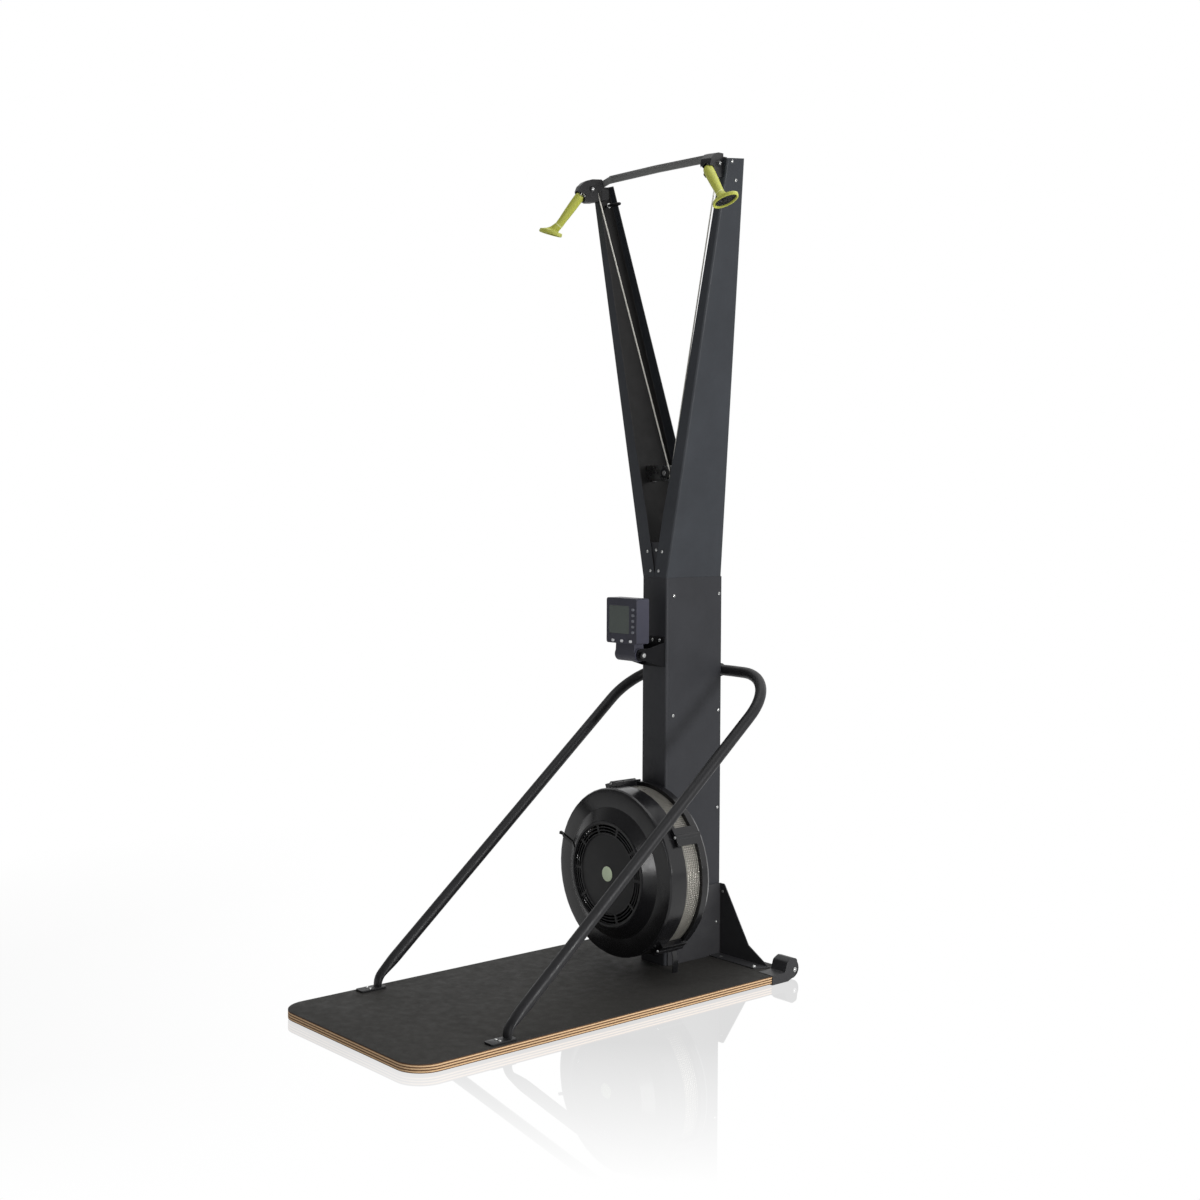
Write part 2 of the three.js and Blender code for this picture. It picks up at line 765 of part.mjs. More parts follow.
function buildBraces() {
  const path = bentPath([
    [braceX, braceFootY, deckTop + braceFootPlate / 2], [braceX, braceFootY, braceKneeZ, braceKneeBend],
    [braceX, braceTopY, braceTopZ, braceTopBend], [braceNeckX, braceBackY, braceTopZ, braceNeckBend],
    [braceEndX, braceBackY, braceTopZ],
  ], 5);
  const footRear = braceFootY + braceFootLap;
  const foot = prism("z", box(braceX - braceFootWidth / 2, braceX + braceFootWidth / 2,
    footRear - braceFootLength, footRear, columnEdgeRadius), deckTop, deckTop + braceFootPlate);
  addPair("brace", join(tube(path, braceRadius, 12, braceRadius - thinSheet), foot), blackSteel);

  const rear = columnDepth + clearance;
  const plate = prism("y", box(-clampHalfWidth, clampHalfWidth, braceTopZ - clampHalfHeight,
    braceTopZ + clampHalfHeight, columnEdgeRadius), rear, rear + sheet);
  const bore = braceRadius + clearance;
  const place = (geometry) => geometry.translate(0, braceBackY, braceTopZ);
  const saddle = place(disc("x", bore + collarWall, -clampHalfWidth, clampHalfWidth, 24));
  const room = place(disc("x", bore, -clampHalfWidth - sheet, clampHalfWidth + sheet, 24));
  add("brace_clamp", cut(join(plate, saddle), room), blackSteel);
}

// Casters.

function buildCasters() {
  const [front, low] = [casterNotchY + clearance, casterFloorGap - floorDrop];
  const shelf = front + casterShelfLength;
  const hood = prism("x", [
    [front, low, 0], [front, casterShelfZ, 0], [shelf, casterShelfZ, casterBend / 2],
    [shelf + casterBend, casterHoodTop - casterBend, casterBend],
    [casterCentreY - casterBend, casterHoodTop, casterBend],
    [casterCentreY + casterBend, casterHoodTop - casterBend / 2, casterBend],
    [casterCentreY + casterRadius / 2, casterCentreZ, 0], [casterCentreY, low + casterBend, casterBend / 2],
    [casterCentreY - casterRadius, low, casterBend / 2],
  ], casterInnerX, casterOuterX);
  const bay = casterWidth / 2 + casterRoom;
  const [near, far] = [casterCentreX - bay, casterCentreX + bay];
  const roomRadius = casterRadius + casterRoom;
  const round = disc("x", roomRadius, near, far, 24).translate(0, casterCentreY, casterCentreZ);
  const below = prism("x", box(casterCentreY - roomRadius, casterCentreY + overrun, -overrun, casterCentreZ),
    near, far);
  const axle = disc("x", casterAxleRadius, near - casterCheek / 2, far + casterCheek / 2, 16)
    .translate(0, casterCentreY, casterCentreZ);
  addPair("caster_bracket", join(cut(hood, round, below), axle), blackPlastic);

  const half = casterWidth / 2;
  const bore = casterAxleRadius + clearance;
  const tread = casterRadius - casterDish;
  const wheel = turned("x", [
    [bore, -half], [casterHubRadius, -half], [casterHubRadius + casterDish, casterDish - half],
    [tread - casterDish, casterDish - half], [tread, -half], [casterRadius, casterDish - half],
    [casterRadius, half - casterDish], [tread, half], [tread - casterDish, half - casterDish],
    [casterHubRadius + casterDish, half - casterDish], [casterHubRadius, half], [bore, half], [bore, -half],
  ], 24).translate(casterCentreX, casterCentreY, casterCentreZ);
  addPair("caster_wheel", wheel, rubber);
}

// Fan housing.

function buildHousing() {
  const wall = sheet;
  const bandRoom = bandOuterRadius + clearance;
  const outer = [
    [inletRadius + clearance, inletY], [bevelRadius, bevelY], [shoulderRadius, shoulderY],
    [brimRadius, brimY], [skirtRadius, skirtFrontY], [skirtRadius, skirtRearY],
  ];
  const inner = [
    [bandRoom, skirtRearY], [bandRoom, skirtFrontY + wall], [brimRadius - wall * 2, brimY + wall],
    [shoulderRadius, shoulderY + wall], [bevelRadius - wall / 2, bevelY + wall],
    [inletRadius + clearance, inletY + wall],
  ];
  const front = turned("y", [...outer, ...inner, outer[0]], 48);
  add("housing_front", aroundFan(front), shellGrey);

  const hole = shellHoleRadius;
  const back = rearPlateY - wall;
  const roundY = rearShoulderY * 2;
  const shell = turned("y", [
    [hole, rearPlateY], [rearPlateRadius, rearPlateY], [rearShoulderRadius, rearShoulderY],
    [rearOuterRadius, roundY], [rearOuterRadius, rearLipY], [bandRoom, rearLipY], [bandRoom, rearLipInnerY],
    [rearOuterRadius - wall, rearLipInnerY], [rearOuterRadius - wall, roundY],
    [rearShoulderRadius - wall, rearShoulderY - wall], [rearPlateRadius, back], [hole, back],
    [hole, rearPlateY],
  ], 48);
  const core = turned("y", [
    [0, clampFrontY - wall], [skirtRadius + clearance, clampFrontY - wall],
    [skirtRadius + clearance, skirtRearY + clearance], [bandRoom, skirtRearY + clearance],
    [bandRoom, rearLipInnerY - wall], [0, rearLipInnerY - wall],
  ], 48);
  const inside = turned("y", [
    [0, rearLipInnerY - wall * 2], [bandRoom, rearLipInnerY - wall * 2], [bandRoom, rearLipInnerY],
    [rearOuterRadius - wall, rearLipInnerY], [rearOuterRadius - wall, roundY], [0, roundY],
  ], 48);
  const clamps = clampAngles.map((angle) => clampPiece(angle));
  const body = aroundFan(join(shell, cut(join(...clamps), core, inside)));
  add("housing_rear", join(body, buildLeg()), shellGrey);
}

// A moulded bridge over the band, with the barrel of its screw along the top.
function clampPiece(angle) {
  const half = clampOpenAngle / 2;
  const top = bandOuterRadius + clampReach;
  const outline = sector(bandOuterRadius - sheet, top, -half, half);
  const bridge = prism("y", outline, clampFrontY, clampRearY);
  const barrel = disc("y", clampBarrelRadius, clampFrontY, clampRearY, 12).translate(top - sheet, 0, 0);
  return join(bridge, barrel).rotateY(-THREE.MathUtils.degToRad(angle));
}

function buildLeg() {
  const root = rearOuterRadius - sheet / 2;
  const turn = THREE.MathUtils.degToRad(legAngle);
  const [x, z] = [root * Math.cos(turn), fanZ + root * Math.sin(turn)];
  const curveShares = [[0, 0], [0.8, 0.35], [1, 0.65], [0.8, 1]];
  const near = curveShares.map(([out, down]) => {
    return new THREE.Vector2(x + legBulge * out, THREE.MathUtils.lerp(z, footZ, down));
  });
  const far = near.map((point) => new THREE.Vector2(point.x - legThickness, point.y)).reverse();
  return prism("y", [...near, ...far], legFrontY, legFrontY + legWidth);
}

function buildBand() {
  const inner = bandOuterRadius - bandThickness;
  const band = ring("y", inner, bandOuterRadius, bandFrontY, bandRearY, 48);
  const tools = [];
  clampAngles.forEach((angle, at) => {
    const next = at + 1 < clampAngles.length ? clampAngles[at + 1] : clampAngles[0] - fullTurn;
    for (let slot = 0; slot < bandSlotsPerBay; slot++) {
      const turn = (angle + next) / 2 + (slot - (bandSlotsPerBay - 1) / 2) * bandSlotAngle;
      const tool = prism("x", slotOutline(), inner - sheet, bandOuterRadius + sheet);
      tools.push(tool.rotateY(-THREE.MathUtils.degToRad(turn)));
    }
  });
  add("outlet_band", aroundFan(cut(band, ...tools)), bandSteel);
}

// A long slot with pointed ends.
function slotOutline() {
  const half = bandSlotWidth / 2;
  return [
    [bandSlotFrontY, 0], [bandSlotFrontY + half, -half], [bandSlotRearY - half, -half],
    [bandSlotRearY, 0], [bandSlotRearY - half, half], [bandSlotFrontY + half, half],
  ];
}

function buildGrille() {
  const face = turned("y", [
    [0, hubFaceY - hubFaceDome], [hubFaceRadius / 2, hubFaceY - hubFaceDome / 2],
    [hubFaceRadius, hubFaceY], [hubFaceRadius + badgeEdge, inletY], [inletRadius, inletY],
    [inletRadius, inletY + sheet], [hubFaceRadius, inletY + sheet * 2], [0, inletY + sheet * 2],
  ], 48);
  const seat = hubFaceY - badgeThickness / 2;
  const tools = [disc("y", badgeRadius + clearance, hubFaceY - hubFaceDome * 2, seat, 30)];
  const bayAngle = fullTurn / grilleBays;
  const half = (bayAngle * grilleOpenShare) / 2;
  for (let row = 0; row < grilleRows; row++) {
    const low = hubFaceRadius + grilleRowStart + row * grilleRowPitch;
    for (let bay = 0; bay < grilleBays; bay++) {
      const middle = (bay + 0.5) * bayAngle;
      const outline = sector(low, low + grilleRowWidth, middle - half, middle + half);
      tools.push(prism("y", outline, inletY - sheet, inletY + sheet * 3));
    }
  }
  add("inlet_grille", aroundFan(cut(face, ...tools)), shellGrey);
  const front = hubFaceY - hubFaceDome;
  const badge = turned("y", [
    [0, front - badgeThickness], [badgeRadius - badgeEdge, front - badgeEdge], [badgeRadius, front],
    [badgeRadius, hubFaceY - badgeThickness], [0, hubFaceY - badgeThickness],
  ], 30);
  add("badge", aroundFan(badge), badgeGreen);
}

// The outline of a part of a ring, between two radii and two angles.
function sector(low, high, from, to) {
  const outline = [];
  const steps = 4;
  for (const [radius, first, last] of [[low, from, to], [high, to, from]]) {
    for (let step = 0; step <= steps; step++) {
      const angle = THREE.MathUtils.degToRad(THREE.MathUtils.lerp(first, last, step / steps));
      outline.push(new THREE.Vector2(radius * Math.cos(angle), radius * Math.sin(angle)));
    }
  }
  return outline;
}

function buildDamper() {
  const lift = damperLift;
  const base = [
    [damperCollarInner, inletY], [inletRadius + lift, inletY], [bevelRadius, bevelY],
    [shoulderRadius, shoulderY], [brimRadius, brimY], [skirtRadius + lift, skirtFrontY],
  ].map(([radius, y]) => [radius, y - lift]);
  const high = base.map(([radius, y]) => [radius, y - damperThickness]).reverse();
  const knobY = skirtFrontY - lift;
  const tip = [[damperKnobRadius, knobY], [damperKnobRadius, knobY - damperThickness * 3]];
  const strip = [...base, ...tip, ...high].map(([radius, y]) => new THREE.Vector2(radius, y));
  const arm = prism("z", strip, -damperWidth / 2, damperWidth / 2);
  const collarY = inletY - lift;
  const collar = ring("y", damperCollarInner, inletRadius - lift, collarY - damperThickness, collarY, 48);
  add("damper_lever", aroundFan(join(arm, collar), damperAngle), blackPlastic);
}

// Fan, shaft and drums.

function buildFan() {
  const bore = shaftRadius + clearance;
  const back = ring("y", bore, fanRadius, fanBackY - fanDisc, fanBackY, 48);
  const hub = ring("y", bore, fanHubRadius, fanHubFrontY, fanBackY, 24);
  const rim = ring("y", fanRadius - fanRingWidth, fanRadius, fanBladeFrontY - fanDisc, fanBladeFrontY, 48);
  const blades = [];
  for (let blade = 0; blade < fanBlades; blade++) {
    blades.push(bladePiece().rotateY((2 * Math.PI * blade) / fanBlades));
  }
  add("flywheel", aroundFan(join(back, hub, rim, ...blades)), blackPlastic);
  const chamfer = shaftChamfer;
  add("flywheel_shaft", aroundFan(turned("y", [
    [0, shaftFrontY], [shaftRadius - chamfer, shaftFrontY], [shaftRadius, shaftFrontY + chamfer],
    [shaftRadius, shaftRearY - chamfer], [shaftRadius - chamfer, shaftRearY], [0, shaftRearY],
  ], 24)), brightSteel);
}

function bladePiece() {
  const steps = 4;
  const sweep = THREE.MathUtils.degToRad(fanBladeSweep);
  const near = [];
  const far = [];
  for (let step = 0; step <= steps; step++) {
    const share = step / steps;
    const radius = THREE.MathUtils.lerp(fanBladeInner, fanRadius - fanBladeThickness, share);
    const angle = sweep * share * share;
    const half = fanBladeThickness / 2 / radius;
    near.push(new THREE.Vector2(radius * Math.cos(angle - half), radius * Math.sin(angle - half)));
    far.unshift(new THREE.Vector2(radius * Math.cos(angle + half), radius * Math.sin(angle + half)));
  }
  return prism("y", [...near, ...far], fanBladeFrontY - fanDisc / 2, fanBackY - fanDisc / 2);
}

function returnY() {
  return drumFrontY + drumMainWidth + drumHubWidth + drumGap / 2;
}

function buildBearing() {
  const front = sheet + clearance;
  const plate = prism("y", box(-blockHalfWidth, blockHalfWidth, -blockHalfHeight, blockHalfHeight),
    front, front + blockFrontPlate);
  const boss = disc("y", blockBossRadius, 0, front + blockFrontPlate / 2, 32);
  const rear = prism("y", box(-blockHalfWidth, blockHalfWidth, -blockHalfHeight, blockHalfHeight),
    blockRearY, blockRearY + blockRearPlate);
  const webs = [-1, 1].map((side) => {
    const [near, far] = [side * (blockHalfWidth - blockWeb), side * blockHalfWidth];
    return prism("x", box(front, blockRearY + blockRearPlate, -blockHalfHeight, blockHalfHeight),
      Math.min(near, far), Math.max(near, far));
  });
  const bore = disc("y", shaftRadius + clearance, -sheet, blockRearY + blockRearPlate * 2, 24);
  const block = cut(join(plate, boss, rear, ...webs), bore);
  add("bearing_block", block.translate(0, 0, fanZ), brightSteel);
}

function buildDrums() {
  const bore = shaftRadius + clearance;
  const floor = drumRadius - cordRadius - cordSeat;
  const hub = drumHubRadius - cordRadius - cordSeat;
  const end = drumMainWidth + drumHubWidth;
  const drum = turned("y", [
    [bore, 0], [drumFlangeRadius, 0], [drumFlangeRadius, drumFlange], [floor, drumFlange],
    [floor, drumMainWidth - drumFlange], [drumFlangeRadius, drumMainWidth - drumFlange],
    [drumFlangeRadius, drumMainWidth], [hub, drumMainWidth], [hub, end - drumFlange],
    [hub + drumFlange * 2, end - drumFlange], [hub + drumFlange * 2, end], [bore, end], [bore, 0],
  ], 18);
  add("cord_drum_right", aroundFan(drum.clone().translate(0, drumFrontY, 0)), blackPlastic);
  const rear = drumFrontY + 2 * end + drumGap;
  add("cord_drum_left", aroundFan(drum.clone().scale(1, -1, 1).translate(0, rear, 0)), blackPlastic);
}

// Cords and pulleys.

// The place where a line from a point touches a circle, in one plane.
function touch(centre, radius, point, side) {
  const away = point.clone().sub(centre);
  const turn = Math.acos(radius / away.length()) * side;
  return away.setLength(radius).rotateAround(new THREE.Vector2(), turn).add(centre);
}

function pulleyPlace(along, up) {
  return vec(topPulleyX + along * Math.sin(yaw), topPulleyY - along * Math.cos(yaw), topPulleyZ + up);
}

function arcPoints(count, make) {
  return Array.from({ length: count + 1 }, (_, step) => make(step / count));
}

function handleTop() {
  return vec(handleTopX, handleTopY, handleTopZ);
}

function handleAlong() {
  return vec(neckX, neckY, overallHeight - neckDrop).sub(handleTop()).normalize();
}

function buildCords() {
  const frontPoint = new THREE.Vector2(
    (topPulleyY - handleTopY) / Math.cos(yaw), handleTopZ - topPulleyZ);
  const zero = new THREE.Vector2();
  const frontTouch = touch(zero, topPulleyRadius, frontPoint, 1);
  const frontAngle = frontTouch.angle();
  const throat = new THREE.Vector2(throatX, throatZ);
  const rearStart = pulleyPlace(-topPulleyRadius, 0);
  const throatTouch = touch(throat, throatRadius, new THREE.Vector2(rearStart.x, rearStart.z), 1);
  const rise = new THREE.Vector2(rearStart.y - throatY, rearStart.z - throatTouch.y).normalize();
  const rearAngle = Math.PI - Math.atan2(-rise.x, rise.y);
  const throatAngle = Math.atan2(throatTouch.y - throatZ, throatTouch.x - throatX);
  ["right", "left"].forEach((side, at) => {
    const mirror = at === 0 ? 1 : -1;
    const drumY = at === 0 ? drumFrontY + drumMainWidth / 2 : 2 * returnY() - drumFrontY - drumMainWidth / 2;
    const over = arcPoints(12, (share) => {
      const angle = THREE.MathUtils.lerp(frontAngle, rearAngle, share);
      return pulleyPlace(topPulleyRadius * Math.cos(angle), topPulleyRadius * Math.sin(angle));
    });
    const bend = arcPoints(3, (share) => {
      const angle = THREE.MathUtils.lerp(throatAngle, Math.PI, share);
      const [x, z] = [throatRadius * Math.cos(angle), throatRadius * Math.sin(angle)];
      return vec(throatX + x, throatY, throatZ + z);
    });
    const wrap = arcPoints(16, (share) => {
      const angle = -share * Math.PI * 1.5;
      return vec(mirror * drumRadius * Math.cos(angle), drumY, fanZ + drumRadius * Math.sin(angle));
    });
    const path = [...over, ...bend, ...wrap].map((point) => vec(mirror * point.x, point.y, point.z));
    add(`drive_cord_${side}`, tube(path, cordRadius, 6), cordWhite);
  });
  const start = pulleyPlace(frontTouch.x, frontTouch.y);
  const top = handleTop();
  const along = handleAlong();
  const lead = top.clone().sub(start).normalize();
  const stub = [start.clone().addScaledVector(lead, clearance * 2)];
  stub.push(top.clone().addScaledVector(lead, -clearance * 8));
  const socketShares = [0.25, 0.6, 1];
  for (const share of socketShares) stub.push(top.clone().addScaledVector(along, cordSocketDepth * share));
  addPair("pull_cord", tube(stub, cordRadius, 6), cordWhite);
  buildReturnCord();
}

function buildReturnCord() {
  const returnWrapShare = 1.4;
  const half = (drumHubWidth + drumGap + drumFlange) / 2;
  const loopRadius = anchorRodRadius + cordRadius + clearance;
  const down = (y, x) => arcPoints(10, (share) => {
    const angle = Math.PI * (1 + share * returnWrapShare);
    return vec(drumHubRadius * Math.cos(angle) + x, y, fanZ + drumHubRadius * Math.sin(angle));
  });
  const middle = returnY();
  const loop = arcPoints(8, (share) => {
    const angle = Math.PI * (1 - share);
    const [y, z] = [middle + loopRadius * Math.cos(angle), returnAnchorZ + loopRadius * Math.sin(angle)];
    return vec(-drumHubRadius, y, z);
  });
  const first = down(middle - half, 0).reverse();
  const last = down(middle + half, 0);
  add("return_cord", tube([...first, ...loop, ...last], cordRadius, 6), rubber);
}

function pulleyProfile(radius, bore) {
  const floor = radius - cordRadius - cordSeat;
  const [half, rim] = [pulleyWidth / 2, radius + pulleyRim];
  return [
    [bore, -half], [rim, -half], [rim, pulleyEdge - half], [floor, -cordRadius / 2], [floor, cordRadius / 2],
    [rim, half - pulleyEdge], [rim, half], [bore, half], [bore, -half],
  ];
}

function buildThroat() {
  const bore = throatPinRadius + clearance;
  const pulley = turned("y", pulleyProfile(throatRadius, bore), 16).translate(throatX, throatY, throatZ);
  addPair("throat_pulley", pulley, blackPlastic);

  const plateY = throatY + pulleyWidth / 2 + throatPlateGap;
  const [low, high] = [throatZ - throatPlateHalf, throatZ + throatPlateHalf];
  const reach = (z) => armOuterX(z) - sheet * 1.1 - clearance;
  const plate = prism("y", [
    [-reach(low), low, 0], [reach(low), low, 0], [reach(high), high, 0], [-reach(high), high, 0],
  ], plateY, plateY + sheet);
  const tab = prism("x", box(plateY, plateY + throatTabDepth, low, high), -sheet, 0);
  const lean = new THREE.Matrix4().set(1, 0, armSlope, reach(0), 0, 1, 0, 0, 0, 0, 1, 0, 0, 0, 0, 1);
  tab.applyMatrix4(lean);
  const capY = throatY - pulleyWidth / 2 - throatPinHead;
  const pin = disc("y", throatPinRadius, capY, plateY + sheet / 2, 16);
  const cap = disc("y", throatPinRadius + throatPinHead, capY, capY + thinSheet, 16);
  const stud = join(pin, cap).translate(throatX, 0, throatZ);
  add("throat_bracket", join(plate, tab, mirrored(tab), stud, mirrored(stud)), brightSteel);
}

// Pulley housings.

function buildPulleyHousings() {
  const centre = vec(topPulleyX, topPulleyY, topPulleyZ);
  const place = (geometry) => geometry.rotateZ(yaw).translate(centre.x, centre.y, centre.z);
  const outlineShares = [
    [-0.82, -0.2, 0.17], [-0.7, 0.24, 0.29], [-0.42, 0.62, 0.34], [0, 0.8, 0.5], [0.6, 0.85, 0.12],
    [0.7, 0.14, 0.09], [1, 0.06, 0.09], [1, -0.69, 0.14], [0.56, -0.82, 0.23], [0.1, -0.97, 0.34],
    [-0.26, -1.01, 0.23], [-0.44, -0.89, 0.14], [-0.54, -0.71, 0.11], [-0.7, -0.5, 0.11],
  ];
  const outline = outlineShares.map(([along, up, round]) => {
    return [along * housingReach, up * housingRise, round * housingRise];
  });
  const body = prism("x", outline, -housingHalfWidth, housingHalfWidth);
  const half = housingHalfWidth - thinSheet;
  const hollow = prism("x", inset(outline, thinSheet), -half, half);
  const along = handleAlong();
  const top = handleTop();
  const mouthRadius = handleTopRadius + mouthMargin;
  const above = top.clone().addScaledVector(along, -mouthMargin * 2);
  const mouth = rod(above, top.clone().addScaledVector(along, handleRoomLength), mouthRadius, 16);
  const sweep = rod(above, top.clone().addScaledVector(slideWay(), handleRoomLength), mouthRadius, 16);
  const flangeTip = armOuterX(topPulleyZ) - armLipWidthTop - mouthMargin;
  const armRoom = prism("z", box(flangeTip, armTopOuterX * 2, -clearance, columnDepth),
    armMidLipZ, overallHeight);
  const drop = pulleyPlace(-topPulleyRadius, 0);
  const cordRoom = prism("z", box(drop.x - housingSpout * 2, drop.x + housingSpout,
    drop.y - housingSpout, drop.y + housingSpout * 2), armMidLipZ, topPulleyZ - housingSpout / 2);
  const bore = disc("x", topPulleyAxleRadius + clearance, -housingHalfWidth * 2, housingHalfWidth * 2, 20);
  const barRoom = prism("z", box(0, armTopOuterX, sheet, columnDepth), topPulleyZ + sheet, overallHeight);
  const shell = cut(place(body), place(hollow), mouth, sweep, armRoom, barRoom, cordRoom, place(bore));
  addPair("pulley_housing", shell, blackPlastic);

  const pulley = turned("x", pulleyProfile(topPulleyRadius, topPulleyAxleRadius + clearance), 18);
  addPair("top_pulley", place(pulley), brightSteel);
  const end = housingHalfWidth + clearance;
  const axle = turned("x", [
    [0, -end - topAxleHeadLength], [topAxleHeadRadius, -end - topAxleHeadLength], [topAxleHeadRadius, -end],
    [topPulleyAxleRadius, -end], [topPulleyAxleRadius, end], [topAxleHeadRadius, end],
    [topAxleHeadRadius, end + topAxleHeadLength], [0, end + topAxleHeadLength],
  ], 16);
  addPair("top_pulley_axle", place(axle), brightSteel);
}

function slideWay() {
  const directionShares = [0.12, -0.3, -0.945];
  return vec(...directionShares).normalize();
}

// Handles.

function handleLoop(centre, long, wide, halfLong, halfWide, sides = 18) {
  return Array.from({ length: sides }, (_, side) => {
    const angle = (2 * Math.PI * side) / sides;
    return centre.clone()
      .addScaledVector(long, halfLong * Math.cos(angle))
      .addScaledVector(wide, halfWide * Math.sin(angle));
  });
}

function buildHandles() {
  const top = handleTop();
  const along = handleAlong();
  const flange = vec(flangeCentreX, flangeCentreY, overallHeight - flangeDrop);
  const neck = vec(neckX, neckY, overallHeight - neckDrop);
  const openingShares = [0.25, -0.206, -0.947];
  const longShares = [0.967, -0.065, 0.244];
  const opening = vec(...openingShares).normalize();
  const flangeLong = vec(...longShares);
  flangeLong.addScaledVector(opening, -flangeLong.dot(opening)).normalize();
  const flangeWide = opening.clone().cross(flangeLong).normalize();
  const gripLong = flangeLong.clone().addScaledVector(along, -flangeLong.dot(along)).normalize();
  const gripWide = along.clone().cross(gripLong).normalize();
  const at = (depth) => flange.clone().addScaledVector(opening, depth);
  const loops = [];
  const gripShares = [
    [0, 0.8], [0.02, 0.94], [0.06, 1], [0.35, 1], [0.6, 0.92], [0.78, 0.84], [0.9, 0.84],
  ];
  for (const [share, fat] of gripShares) {
    const centre = top.clone().lerp(neck, share);
    loops.push(handleLoop(centre, gripLong, gripWide, handleTopRadius * fat, handleSlimRadius * fat));
  }
  const flareShares = [
    [0.3, 0.3, 0.52], [0.6, 0.4, 0.6], [0.82, 0.6, 0.75], [0.94, 0.82, 0.9], [1, 0.97, 0.98],
  ];
  const flangeBack = -cupDepth / 2;
  for (const [share, long, wide] of flareShares) {
    const centre = top.clone().lerp(neck, THREE.MathUtils.lerp(gripShares.at(-1)[0], 1, share));
    centre.lerp(at(flangeBack), share);
    const axisLong = gripLong.clone().lerp(flangeLong, share).normalize();
    const axisWide = gripWide.clone().lerp(flangeWide, share).normalize();
    loops.push(handleLoop(centre, axisLong, axisWide, flangeHalfLength * long, flangeHalfWidth * wide));
  }
  const halfLong = flangeHalfLength - flangeWall;
  const halfWide = flangeHalfWidth - flangeWall;
  const [floorLong, floorWide] = [halfLong - flangeWall, halfWide - flangeWall / 2];
  loops.push(handleLoop(at(0), flangeLong, flangeWide, flangeHalfLength, flangeHalfWidth));
  loops.push(handleLoop(at(flangeRim), flangeLong, flangeWide, flangeHalfLength, flangeHalfWidth));
  loops.push(handleLoop(at(flangeRim), flangeLong, flangeWide, halfLong, halfWide));
  loops.push(handleLoop(at(flangeRim - cupDepth), flangeLong, flangeWide, floorLong, floorWide));
  const socket = rod(top.clone().addScaledVector(along, -cordSocketDepth),
    top.clone().addScaledVector(along, cordSocketDepth + clearance), cordRadius + socketMargin, 12);
  addPair("handle", cut(loft(loops), socket), handleLime);

  const slack = clearance * 2;
  const plug = loft([
    handleLoop(at(flangeRim - insertRecess), flangeLong, flangeWide, floorLong, floorWide),
    handleLoop(at(flangeRim - cupDepth + clearance), flangeLong, flangeWide,
      floorLong - slack, floorWide - slack),
  ]);
  const [wellLong, wellWide] = [floorLong - insertWall, floorWide - insertWall / 2];
  const well = loft([
    handleLoop(at(flangeRim), flangeLong, flangeWide, wellLong, wellWide),
    handleLoop(at(flangeRim - cupDepth + thinSheet), flangeLong, flangeWide, wellLong, wellWide),
  ]);
  addPair("handle_insert", cut(plug, well), blackPlastic);
}

// Monitor.

function buttonPlaces() {
  const places = [];
  for (let step = 0; step < buttonColumnCount; step++) {
    places.push([buttonColumnX, buttonColumnStart + step * buttonColumnPitch]);
  }
  for (let step = 0; step < buttonRowCount; step++) {
    places.push([buttonRowStart + step * buttonRowPitch, buttonRowZ]);
  }
  return places;
}

